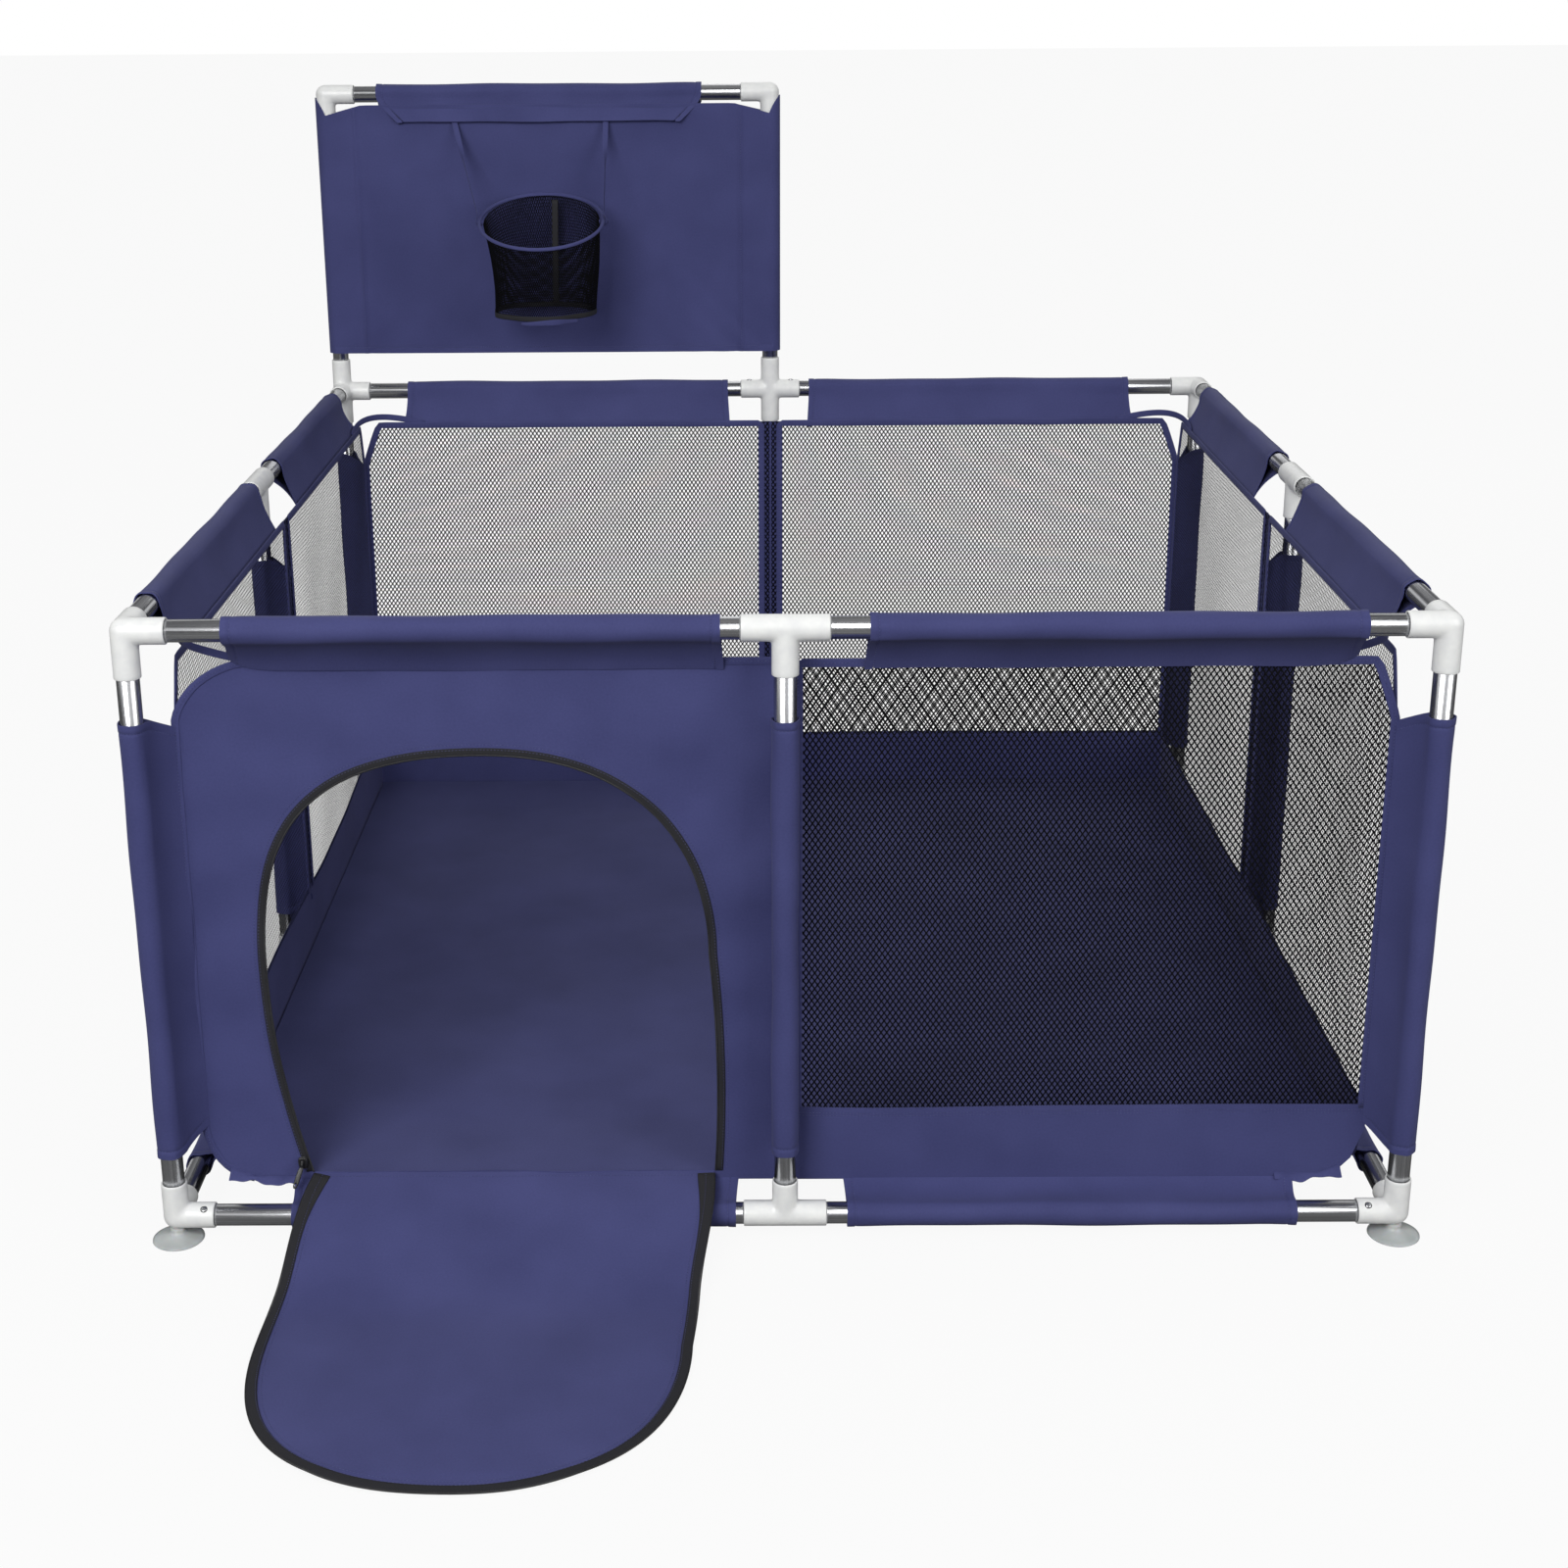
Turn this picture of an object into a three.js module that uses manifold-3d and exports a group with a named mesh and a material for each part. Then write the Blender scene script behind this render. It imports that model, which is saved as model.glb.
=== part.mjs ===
// Travel play yard: a square pen of steel tubes in plastic fittings, with a sewn fabric and mesh
// cover, a zip door that folds down to the ground, and a backboard with a ball hoop.
// Millimetres, +Z up, standing on the ground at Z = 0. The door side faces -Y.

import * as THREE from 'three';
import { mergeVertices } from 'three/addons/utils/BufferGeometryUtils.js';
import Module from 'manifold-3d';

const wasm = await Module();
wasm.setup();

// ---- Driving dimensions --------------------------------------------------------------------

const BAY = 620;               // tube axis to tube axis, one of the two bays on each side
const BASE_RAIL_Z = 27;        // height of the base rails' axes
const TOP_RAIL_Z = 647;        // height of the top rails' axes
const CROSSBAR_Z = 1064;       // height of the hoop frame's crossbar

const TUBE_RADIUS = 11;
const TUBE_WALL = 0.8;
const FITTING_RADIUS = 13;
const SOCKET_RADIUS = 11.3;    // bore of a fitting's socket
const SOCKET_START = 13.3;     // from the fitting's centre to the blind end of a socket
const TUBE_END = 14;           // from the fitting's centre to the end of a tube
const CORNER_ARM = 40;
const TEE_ARM = 42;
const TOP_LEG = 46;            // the arms of the top fittings that point down or up
const BASE_LEG = 38;           // the arms of the base fittings that point up

const FOOT_RADIUS = 26;
const FOOT_STEM_RADIUS = 4;
const FOOT_STEM_TOP = 19.5;

const CLOTH = 2;               // thickness of the cover's panels
const GAP = 0.3;
const WALL_OFFSET = 588;       // from the yard's centre to the middle of a cover wall
const WALL_BOTTOM = 48;
const WALL_TOP = 607;
const FLOOR_Z = 55;            // middle of the floor panel
const SLEEVE_OUTER = 13.4;     // radii of the sleeves round the tubes
const SLEEVE_INNER = 11.6;
const SLEEVE_SEAM = 8;         // from a sleeve's hollow to its sewn edge
const POST_SLEEVE = [97, 557]; // heights of the ends of the sleeves round the posts

const DOOR_SILL = 58;          // height of the doorway's bottom edge
const DOOR_TOP = 513;
const DOOR_CROWN_X = -290;     // where the arch is highest
const DOOR_SPRING_Z = 300;     // height where the arch starts to close in
const DOOR_RIGHT_X = -74;
const DOOR_SIDE = { x: 323, z: 294, radius: 841 };  // circle that the left side follows
const FLAP_GAP = 2.5;          // between the flap's edge and the doorway's
const FLAP_HINGE_Z = 57;
const FLAP_SLOPE = THREE.MathUtils.degToRad(19);    // fall of the flap's inner part over the rail
const FLAP_GROUND_Z = 1.4;     // middle of the flap's outer part, lying on the ground

const BOARD_BOTTOM = 704;
const BOARD_TOP = 1040;
const BOARD_Y = BAY - 13;      // middle of the backboard's panel
const BOARD_SLEEVE_OUTER = 15;
const BOARD_SLEEVE_INNER = 13.4;
const BOARD_SLEEVE_TOP = 1036;
const HOOP = { x: -315, y: 518, z: 899, radius: 85, rim: 4 };
const HOOP_TILT = THREE.MathUtils.degToRad(20);     // the front of the hoop hangs lower
const NET_BOTTOM_Z = 774;

const BUTTON_RADIUS = 3;
const BUTTON_HOLE_RADIUS = 3.4;
const BUTTON_REACH = 30;       // from the fitting's centre to the button, along the arm

const SIDES = 12;              // facets round a tube, a fitting arm or a sleeve

// ---- Materials -----------------------------------------------------------------------------

const finish = (color, roughness, metalness = 0) =>
  new THREE.MeshStandardMaterial({ color, roughness, metalness, flatShading: true });

const steel = finish('#c9cbce', 0.25, 1);
const whitePlastic = finish('#f0f1f2', 0.35);
const clearRubber = finish('#d3d6d8', 0.3);
const navyCloth = finish('#40416c', 0.8);
const blackNet = finish('#23242c', 0.9);
const blackZip = finish('#17181a', 0.5);

// ---- Solids --------------------------------------------------------------------------------

const point = (x, y, z) => new THREE.Vector3(x, y, z);
const UP = point(0, 0, 1);
const DOWN = point(0, 0, -1);
const RIGHT = point(1, 0, 0);
const LEFT = point(-1, 0, 0);
const BACK = point(0, 1, 0);
const FRONT = point(0, -1, 0);

/** Turn a closed three.js geometry into a solid that can be cut and joined. */
function solidOf(geometry) {
  geometry.deleteAttribute('normal');
  geometry.deleteAttribute('uv');
  const merged = mergeVertices(geometry, 1e-4);
  const corners = merged.index.array;
  const triangles = [];
  for (let i = 0; i < corners.length; i += 3) {
    const [a, b, c] = [corners[i], corners[i + 1], corners[i + 2]];
    if (a !== b && b !== c && c !== a) triangles.push(a, b, c);
  }
  return new wasm.Manifold(new wasm.Mesh({
    numProp: 3,
    vertProperties: new Float32Array(merged.attributes.position.array),
    triVerts: new Uint32Array(triangles),
  }));
}

/** A round bar between two points. */
function rod(radius, from, to) {
  const axis = to.clone().sub(from);
  const bar = new THREE.CylinderGeometry(radius, radius, axis.length(), SIDES);
  bar.applyQuaternion(new THREE.Quaternion().setFromUnitVectors(BACK, axis.clone().normalize()));
  bar.translate(...from.clone().add(to).multiplyScalar(0.5).toArray());
  return solidOf(bar);
}

/** A rectangular block between its lowest and highest corners. */
function block(low, high) {
  const size = high.clone().sub(low);
  const middle = low.clone().add(high).multiplyScalar(0.5);
  return solidOf(new THREE.BoxGeometry(...size.toArray()).translate(...middle.toArray()));
}

/** Join several solids into one. */
const join = (solids) => solids.reduce((whole, piece) => whole.add(piece));

/** A plate cut to an outline in X and Z, with the middle of its thickness at the given Y. */
function uprightPlate(outline, y, segments = 6) {
  const plate = new THREE.ExtrudeGeometry(outline,
    { depth: CLOTH, bevelEnabled: false, curveSegments: segments });
  plate.rotateX(Math.PI / 2).translate(0, y + CLOTH / 2, 0);
  return solidOf(plate);
}

const yard = new THREE.Group();

/** Add a finished solid to the yard as a named mesh. */
function addMesh(name, solid, material) {
  const { vertProperties, triVerts } = solid.getMesh();
  const geometry = new THREE.BufferGeometry();
  geometry.setAttribute('position', new THREE.BufferAttribute(vertProperties, 3));
  geometry.setIndex(new THREE.BufferAttribute(triVerts, 1));
  const mesh = new THREE.Mesh(geometry, material);
  mesh.name = name;
  yard.add(mesh);
}

// ---- Lock buttons --------------------------------------------------------------------------

// Each spring button sits inside a tube's end and comes out through the fitting's arm.
const frontTilt = THREE.MathUtils.degToRad(55);
const frontOutward = point(0, -Math.cos(frontTilt), Math.sin(frontTilt));
const lockButtons = [
  { name: 'front_left', at: point(-BAY + BUTTON_REACH, -BAY, BASE_RAIL_Z), out: frontOutward },
  { name: 'front_right', at: point(BAY - BUTTON_REACH, -BAY, BASE_RAIL_Z), out: frontOutward },
  { name: 'back_cross_left', at: point(-BUTTON_REACH, BAY, TOP_RAIL_Z), out: UP },
  { name: 'back_cross_right', at: point(BUTTON_REACH, BAY, TOP_RAIL_Z), out: UP },
];

/** A short round piece of a button, between two distances from its tube's axis. */
const alongButton = ({ at, out }, radius, inner, outer) =>
  rod(radius, at.clone().addScaledVector(out, inner), at.clone().addScaledVector(out, outer));

/** Cut the holes of the lock buttons that lie within reach of a point. */
function drillButtonHoles(solid, near, reach) {
  return lockButtons
    .filter(({ at }) => at.distanceTo(near) < reach)
    .reduce((cut, button) => cut.subtract(alongButton(button, BUTTON_HOLE_RADIUS, 2, 20)), solid);
}

for (const button of lockButtons) {
  const flange = alongButton(button, 4.2, 7, 8.3);
  const cap = alongButton(button, BUTTON_RADIUS, 8, 14);
  addMesh(`lock_button_${button.name}`, flange.add(cap), steel);
}

// ---- Tubes ---------------------------------------------------------------------------------

/** A steel tube between the centres of two fittings. */
function addTube(name, from, to) {
  const along = to.clone().sub(from).normalize();
  const start = from.clone().addScaledVector(along, TUBE_END);
  const end = to.clone().addScaledVector(along, -TUBE_END);
  const hollow = rod(TUBE_RADIUS - TUBE_WALL, from, to);
  const tube = rod(TUBE_RADIUS, start, end).subtract(hollow);
  const middle = from.clone().add(to).multiplyScalar(0.5);
  const onAxis = lockButtons.filter(({ at }) => {
    const offset = at.clone().sub(middle);
    return offset.clone().cross(along).length() < 1 && Math.abs(offset.dot(along)) < BAY / 2;
  });
  addMesh(name, onAxis.length ? drillButtonHoles(tube, onAxis[0].at, 1) : tube, steel);
}

const corners = {
  front_left: [-1, -1], front_right: [1, -1], back_right: [1, 1], back_left: [-1, 1],
};
const middles = {
  front_middle: [0, -1], right_middle: [1, 0], back_middle: [0, 1], left_middle: [-1, 0],
};
const station = ([x, y], z) => point(x * BAY, y * BAY, z);

for (const [name, place] of Object.entries({ ...corners, ...middles })) {
  addTube(`post_${name}`, station(place, BASE_RAIL_Z), station(place, TOP_RAIL_Z));
}

const splitRails = [['top', TOP_RAIL_Z, 'front', -1], ['top', TOP_RAIL_Z, 'back', 1],
  ['base', BASE_RAIL_Z, 'front', -1]];
for (const [level, z, side, y] of splitRails) {
  addTube(`${level}_rail_${side}_left`, station([-1, y], z), station([0, y], z));
  addTube(`${level}_rail_${side}_right`, station([0, y], z), station([1, y], z));
}

addTube('base_rail_back', station([-1, 1], BASE_RAIL_Z), station([1, 1], BASE_RAIL_Z));
for (const [level, z] of [['top', TOP_RAIL_Z], ['base', BASE_RAIL_Z]]) {
  addTube(`${level}_rail_left`, station([-1, -1], z), station([-1, 1], z));
  addTube(`${level}_rail_right`, station([1, -1], z), station([1, 1], z));
}

addTube('hoop_upright_left', station([-1, 1], TOP_RAIL_Z), station([-1, 1], CROSSBAR_Z));
addTube('hoop_upright_right', station([0, 1], TOP_RAIL_Z), station([0, 1], CROSSBAR_Z));
addTube('hoop_crossbar', station([-1, 1], CROSSBAR_Z), station([0, 1], CROSSBAR_Z));

// ---- Fittings ------------------------------------------------------------------------------

/**
 * A moulded fitting: one round arm for each [direction, length], a ball where they meet, and a
 * socket in each arm. A through axis runs its socket straight past the centre.
 */
function fitting(centre, arms, throughAxis = null) {
  const reach = (direction, distance) => centre.clone().addScaledVector(direction, distance);
  const ball = solidOf(new THREE.SphereGeometry(FITTING_RADIUS, SIDES, SIDES / 2)
    .translate(...centre.toArray()));
  const outside = join([ball,
    ...arms.map(([direction, length]) => rod(FITTING_RADIUS, centre, reach(direction, length)))]);
  const sockets = arms.map(([direction, length]) =>
    rod(SOCKET_RADIUS, reach(direction, SOCKET_START), reach(direction, length + 5)));
  if (throughAxis) {
    sockets.push(rod(SOCKET_RADIUS, reach(throughAxis, -SOCKET_START - 1),
      reach(throughAxis, SOCKET_START + 1)));
  }
  return drillButtonHoles(outside.subtract(join(sockets)), centre, BUTTON_REACH + 5);
}

for (const [name, place] of Object.entries(corners)) {
  const [x, y] = place;
  const inwards = [[x > 0 ? LEFT : RIGHT, CORNER_ARM], [y > 0 ? FRONT : BACK, CORNER_ARM]];
  const base = station(place, BASE_RAIL_Z);
  const stemHole = rod(FOOT_STEM_RADIUS + GAP, point(base.x, base.y, 0),
    point(base.x, base.y, FOOT_STEM_TOP + GAP));
  const baseCorner = fitting(base, [...inwards, [UP, BASE_LEG]]).subtract(stemHole);
  addMesh(`base_corner_${name}`, baseCorner, whitePlastic);

  const topArms = [...inwards, [DOWN, TOP_LEG]];
  if (name === 'back_left') topArms.push([UP, TOP_LEG]);
  addMesh(`top_corner_${name}`, fitting(station(place, TOP_RAIL_Z), topArms), whitePlastic);
}

for (const [name, place] of Object.entries(middles)) {
  const side = name.replace('_middle', '');
  const alongX = place[0] === 0;
  const rails = alongX ? [[LEFT, TEE_ARM], [RIGHT, TEE_ARM]] : [[FRONT, TEE_ARM], [BACK, TEE_ARM]];
  const baseThrough = side === 'back' ? RIGHT : alongX ? null : BACK;
  const topThrough = alongX ? null : BACK;
  const base = fitting(station(place, BASE_RAIL_Z), [...rails, [UP, BASE_LEG]], baseThrough);
  addMesh(`base_tee_${side}`, base, whitePlastic);
  const topArms = [...rails, [DOWN, TOP_LEG]];
  if (side === 'back') topArms.push([UP, TOP_LEG]);
  addMesh(side === 'back' ? 'top_cross_back' : `top_tee_${side}`,
    fitting(station(place, TOP_RAIL_Z), topArms, topThrough), whitePlastic);
}

addMesh('hoop_elbow_left', fitting(station([-1, 1], CROSSBAR_Z),
  [[RIGHT, CORNER_ARM], [DOWN, CORNER_ARM]]), whitePlastic);
addMesh('hoop_elbow_right', fitting(station([0, 1], CROSSBAR_Z),
  [[LEFT, CORNER_ARM], [DOWN, CORNER_ARM]]), whitePlastic);

// ---- Suction feet --------------------------------------------------------------------------

// Profile of a suction cup with its stem, from the middle of the hollow underside outwards.
const footProfile = [
  [0, 3.5], [12, 2.5], [21, 0], [FOOT_RADIUS, 0], [FOOT_RADIUS, 1.5], [15, 5], [7.5, 8],
  [7.5, 13], [FOOT_STEM_RADIUS, 13], [FOOT_STEM_RADIUS, FOOT_STEM_TOP], [0, FOOT_STEM_TOP],
].map(([radius, height]) => new THREE.Vector2(radius, height));

for (const [name, [x, y]] of Object.entries(corners)) {
  const cup = new THREE.LatheGeometry(footProfile, SIDES).rotateX(Math.PI / 2);
  addMesh(`suction_foot_${name}`, solidOf(cup.translate(x * BAY, y * BAY, 0)), clearRubber);
}

// ---- Cover ---------------------------------------------------------------------------------

/** Outline of a sleeve's section: a circle drawn out to a point at the sewn edge. */
function teardrop(radius, reach, angle) {
  const open = Math.acos(radius / reach);
  const steps = 10;
  const outline = [];
  for (let i = 0; i <= steps; i += 1) {
    const turn = angle + open + (2 * Math.PI - 2 * open) * (i / steps);
    outline.push(new THREE.Vector2(radius * Math.cos(turn), radius * Math.sin(turn)));
  }
  outline.push(new THREE.Vector2(reach * Math.cos(angle), reach * Math.sin(angle)));
  return outline;
}

/** A sleeve of the given length along +Z, its tube's axis at the origin. */
function sleeve(length, reach, angle) {
  const section = new THREE.Shape(teardrop(SLEEVE_OUTER, reach, angle));
  const seam = Math.max(reach - SLEEVE_SEAM, SLEEVE_INNER * 1.25);
  section.holes.push(new THREE.Path(teardrop(SLEEVE_INNER, seam, angle)));
  return new THREE.ExtrudeGeometry(section, { depth: length, bevelEnabled: false });
}

/** A sleeve round a rail of the front side, from one X to another. */
function railSleeve([start, end], railZ, seamZ) {
  const inwards = BAY - WALL_OFFSET;
  const rise = seamZ - railZ;
  const tube = sleeve(end - start, Math.hypot(inwards, rise), Math.atan2(rise, inwards));
  tube.rotateY(Math.PI / 2).rotateX(Math.PI / 2);
  return solidOf(tube.translate(start, -BAY, railZ));
}

/** A sleeve round a post of the front side, sewn to the wall at the given X. */
function postSleeve(postX, seamX) {
  const run = seamX - postX;
  const inwards = BAY - WALL_OFFSET;
  const tube = sleeve(POST_SLEEVE[1] - POST_SLEEVE[0], Math.hypot(run, inwards),
    Math.atan2(inwards, run));
  return solidOf(tube.translate(postX, -BAY, POST_SLEEVE[0]));
}

/** Outline of a cover wall, with its four corners rounded off. */
function wallOutline(half) {
  const [topRun, topDrop, bottomRun, bottomRise] = [66, 56, 46, 56];
  const outline = new THREE.Shape();
  outline.moveTo(-half + bottomRun, WALL_BOTTOM);
  outline.lineTo(half - bottomRun, WALL_BOTTOM);
  outline.quadraticCurveTo(half - 8, WALL_BOTTOM + 8, half, WALL_BOTTOM + bottomRise);
  outline.lineTo(half, WALL_TOP - topDrop);
  outline.quadraticCurveTo(half - 16, WALL_TOP - 12, half - topRun, WALL_TOP);
  outline.lineTo(-half + topRun, WALL_TOP);
  outline.quadraticCurveTo(-half + 16, WALL_TOP - 12, -half, WALL_TOP - topDrop);
  outline.lineTo(-half, WALL_BOTTOM + bottomRise);
  outline.quadraticCurveTo(-half + 8, WALL_BOTTOM + 8, -half + bottomRun, WALL_BOTTOM);
  return outline;
}

/** X of the doorway's left side at a height. */
const doorSideX = (z) => DOOR_SIDE.x - Math.sqrt(DOOR_SIDE.radius ** 2 - (z - DOOR_SIDE.z) ** 2);

/** Outline of the doorway, drawn in by a margin on its sides and top, from a sill upwards. */
function doorOutline(margin, sill) {
  const [left, crown] = [doorSideX(DOOR_SPRING_Z) + margin, DOOR_TOP - margin];
  const right = DOOR_RIGHT_X - margin;
  const rise = crown - DOOR_SPRING_Z;
  const sideAngle = (z) => Math.PI - Math.asin((z - DOOR_SIDE.z) / DOOR_SIDE.radius);
  const outline = new THREE.Shape();
  outline.absarc(DOOR_SIDE.x, DOOR_SIDE.z, DOOR_SIDE.radius - margin,
    sideAngle(sill), sideAngle(DOOR_SPRING_Z), true);
  outline.bezierCurveTo(left, DOOR_SPRING_Z + 0.7 * rise,
    DOOR_CROWN_X + 0.7 * (left - DOOR_CROWN_X), crown, DOOR_CROWN_X, crown);
  outline.bezierCurveTo(DOOR_CROWN_X + 0.62 * (right - DOOR_CROWN_X), crown,
    right, DOOR_SPRING_Z + 0.62 * rise, right, DOOR_SPRING_Z);
  outline.quadraticCurveTo(right + 12, (DOOR_SPRING_Z + sill) / 2, right + 4, sill);
  outline.closePath();
  return outline;
}

/**
 * One wall of the cover with its sleeves, built as the front side and then turned about Z.
 * The top and base lists hold the X of each sleeve's ends, along the wall.
 */
function coverWall({ turn, top, base, hasCorners, hasDoor }) {
  const half = hasCorners ? WALL_OFFSET + 3 : WALL_OFFSET - CLOTH / 2 - GAP - 0.3;
  const pieces = [uprightPlate(wallOutline(half), -WALL_OFFSET, 3)];
  for (const ends of top) pieces.push(railSleeve(ends, TOP_RAIL_Z, WALL_TOP - 1));
  for (const ends of base) pieces.push(railSleeve(ends, BASE_RAIL_Z, WALL_BOTTOM + 1));
  pieces.push(postSleeve(0, 0));
  if (hasCorners) pieces.push(postSleeve(-BAY, -WALL_OFFSET), postSleeve(BAY, WALL_OFFSET));
  let wall = join(pieces);
  if (hasDoor) {
    const doorway = new THREE.ExtrudeGeometry(doorOutline(0, DOOR_SILL),
      { depth: 4 * CLOTH, bevelEnabled: false, curveSegments: 8 });
    doorway.rotateX(Math.PI / 2).translate(0, -WALL_OFFSET + 2 * CLOTH, 0);
    wall = wall.subtract(solidOf(doorway));
  }
  return wall.rotate([0, 0, turn]);
}

addMesh('cover_front', coverWall({
  turn: 0, top: [[-527, -61], [79, 543]], base: [[-501, -50], [63, 518]],
  hasCorners: true, hasDoor: true,
}), navyCloth);
addMesh('cover_right', coverWall({
  turn: 90, top: [[-510, -83], [100, 534]], base: [[-520, -58], [58, 520]],
}), navyCloth);
addMesh('cover_back', coverWall({
  turn: 180, top: [[-517, -56], [61, 524]], base: [[-520, -58], [58, 520]],
  hasCorners: true,
}), navyCloth);
addMesh('cover_left', coverWall({
  turn: -90, top: [[-525, -90], [48, 532]], base: [[-520, -58], [58, 520]],
}), navyCloth);

const floorHalf = WALL_OFFSET - CLOTH / 2 - GAP;
const floorCut = floorHalf - 52;
const floorOutline = new THREE.Shape([
  [-floorCut, -floorHalf], [floorCut, -floorHalf], [floorHalf, -floorCut], [floorHalf, floorCut],
  [floorCut, floorHalf], [-floorCut, floorHalf], [-floorHalf, floorCut], [-floorHalf, -floorCut],
].map(([x, y]) => new THREE.Vector2(x, y)));
const floorPlate = new THREE.ExtrudeGeometry(floorOutline, { depth: CLOTH, bevelEnabled: false });
addMesh('cover_floor', solidOf(floorPlate.translate(0, 0, FLOOR_Z - CLOTH / 2)), navyCloth);

// ---- Door flap -----------------------------------------------------------------------------

// The flap is drawn closed, standing in the doorway, then cut at the bend and folded down.
const flapBend = (FLAP_HINGE_Z - FLAP_GROUND_Z) / Math.sin(FLAP_SLOPE);
const flapStart = 4;
const closedFlap = uprightPlate(doorOutline(FLAP_GAP, FLAP_HINGE_Z + flapStart), -WALL_OFFSET, 8);

/** The part of the closed flap between two distances from its hinge. */
function flapPart(start, end) {
  return closedFlap.intersect(block(point(-BAY, -BAY, FLAP_HINGE_Z + start),
    point(0, 0, FLAP_HINGE_Z + end)));
}

/** Turn a solid about an axis along X, by degrees. */
const foldAbout = (solid, y, z, degrees) =>
  solid.translate([0, -y, -z]).rotate([degrees, 0, 0]).translate([0, y, z]);

const slopeDegrees = THREE.MathUtils.radToDeg(FLAP_SLOPE);
const innerFlap = foldAbout(flapPart(0, flapBend - 0.4), -WALL_OFFSET, FLAP_HINGE_Z,
  90 + slopeDegrees);
addMesh('door_flap_inner', innerFlap, navyCloth);

const bendY = -WALL_OFFSET - flapBend * Math.cos(FLAP_SLOPE);
const outerFlap = flapPart(flapBend + 0.4, BAY)
  .translate([0, bendY + WALL_OFFSET, FLAP_GROUND_Z - FLAP_HINGE_Z - flapBend]);
addMesh('door_flap_outer', foldAbout(outerFlap, bendY, FLAP_GROUND_Z, 90), navyCloth);

// ---- Zip slider and pull -------------------------------------------------------------------

const sliderZ = 70;
const sliderX = doorSideX(sliderZ) - 6;
const sliderBack = -WALL_OFFSET - CLOTH / 2 - 0.4;
const pullY = sliderBack - 6.5;
const slider = join([
  block(point(sliderX - 4.5, sliderBack - 4, sliderZ - 6),
    point(sliderX + 4.5, sliderBack, sliderZ + 6)),
  block(point(sliderX - 4.1, pullY - 1, sliderZ - 1), point(sliderX - 2.9, sliderBack - 3, sliderZ + 1)),
  block(point(sliderX + 2.9, pullY - 1, sliderZ - 1), point(sliderX + 4.1, sliderBack - 3, sliderZ + 1)),
  rod(0.8, point(sliderX - 3.5, pullY, sliderZ), point(sliderX + 3.5, pullY, sliderZ)),
]);
addMesh('zip_slider', slider, blackZip);

const eyeHole = rod(1.2, point(-4, 0, 0), point(4, 0, 0));
const eye = rod(2.2, point(-1.9, 0, 0), point(1.9, 0, 0));
const tab = block(point(-2, -0.75, -24), point(2, 0.75, -1.7)).rotate([0, 18, 0]);
const pull = tab.add(eye).subtract(eyeHole).rotate([-25, 0, 0])
  .translate([sliderX, pullY, sliderZ]);
addMesh('zip_pull', pull, blackZip);

// ---- Backboard, hoop and net ---------------------------------------------------------------

/** A plain round sleeve between two points. */
const roundSleeve = (outer, inner, from, to) => {
  const over = to.clone().sub(from).normalize();
  return rod(outer, from, to)
    .subtract(rod(inner, from.clone().sub(over), to.clone().add(over)));
};

const boardPanel = block(point(-BAY, BOARD_Y - CLOTH / 2, BOARD_BOTTOM),
  point(0, BOARD_Y + CLOTH / 2, BOARD_TOP));
const boardHollows = join([-BAY, 0].map((x) =>
  rod(BOARD_SLEEVE_INNER, point(x, BAY, BOARD_BOTTOM - 5), point(x, BAY, BOARD_TOP + 5))));
const boardSides = [-BAY, 0].map((x) => roundSleeve(BOARD_SLEEVE_OUTER, BOARD_SLEEVE_INNER,
  point(x, BAY, BOARD_BOTTOM), point(x, BAY, BOARD_SLEEVE_TOP)));
const drop = BOARD_TOP - 3 - CROSSBAR_Z;
const boardHead = sleeve(453, Math.hypot(BAY - BOARD_Y, drop), Math.atan2(drop, BOARD_Y - BAY))
  .rotateY(Math.PI / 2).rotateX(Math.PI / 2).translate(-548, BAY, CROSSBAR_Z);
const backboard = join([boardPanel.subtract(boardHollows), ...boardSides, solidOf(boardHead)]);
addMesh('hoop_backboard', backboard, navyCloth);

/** Height of the tilted hoop's plane at a distance in front of or behind its centre. */
const hoopPlaneZ = (y) => HOOP.z + (y - HOOP.y) * Math.tan(HOOP_TILT);

const rim = new THREE.TorusGeometry(HOOP.radius, HOOP.rim, 8, 24).rotateX(HOOP_TILT);
const strapTopY = BOARD_Y - CLOTH / 2 - GAP;
const straps = [[-440, -1], [-228.5, 1]].map(([topX, side]) => {
  const bottom = point(HOOP.x + side * HOOP.radius, HOOP.y, HOOP.z);
  const top = point(topX, strapTopY - 1, BOARD_TOP - 15);
  const run = top.clone().sub(bottom);
  const strap = new THREE.BoxGeometry(1.6, 9, run.length());
  strap.applyQuaternion(new THREE.Quaternion().setFromUnitVectors(UP, run.clone().normalize()));
  strap.translate(...bottom.add(top).multiplyScalar(0.5).toArray());
  return solidOf(strap);
});
const boardFace = block(point(-BAY, strapTopY, BOARD_BOTTOM), point(0, BAY, CROSSBAR_Z));
const hoop = join([solidOf(rim.translate(HOOP.x, HOOP.y, HOOP.z)), ...straps]);
addMesh('hoop_ring', hoop.subtract(boardFace), navyCloth);

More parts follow.
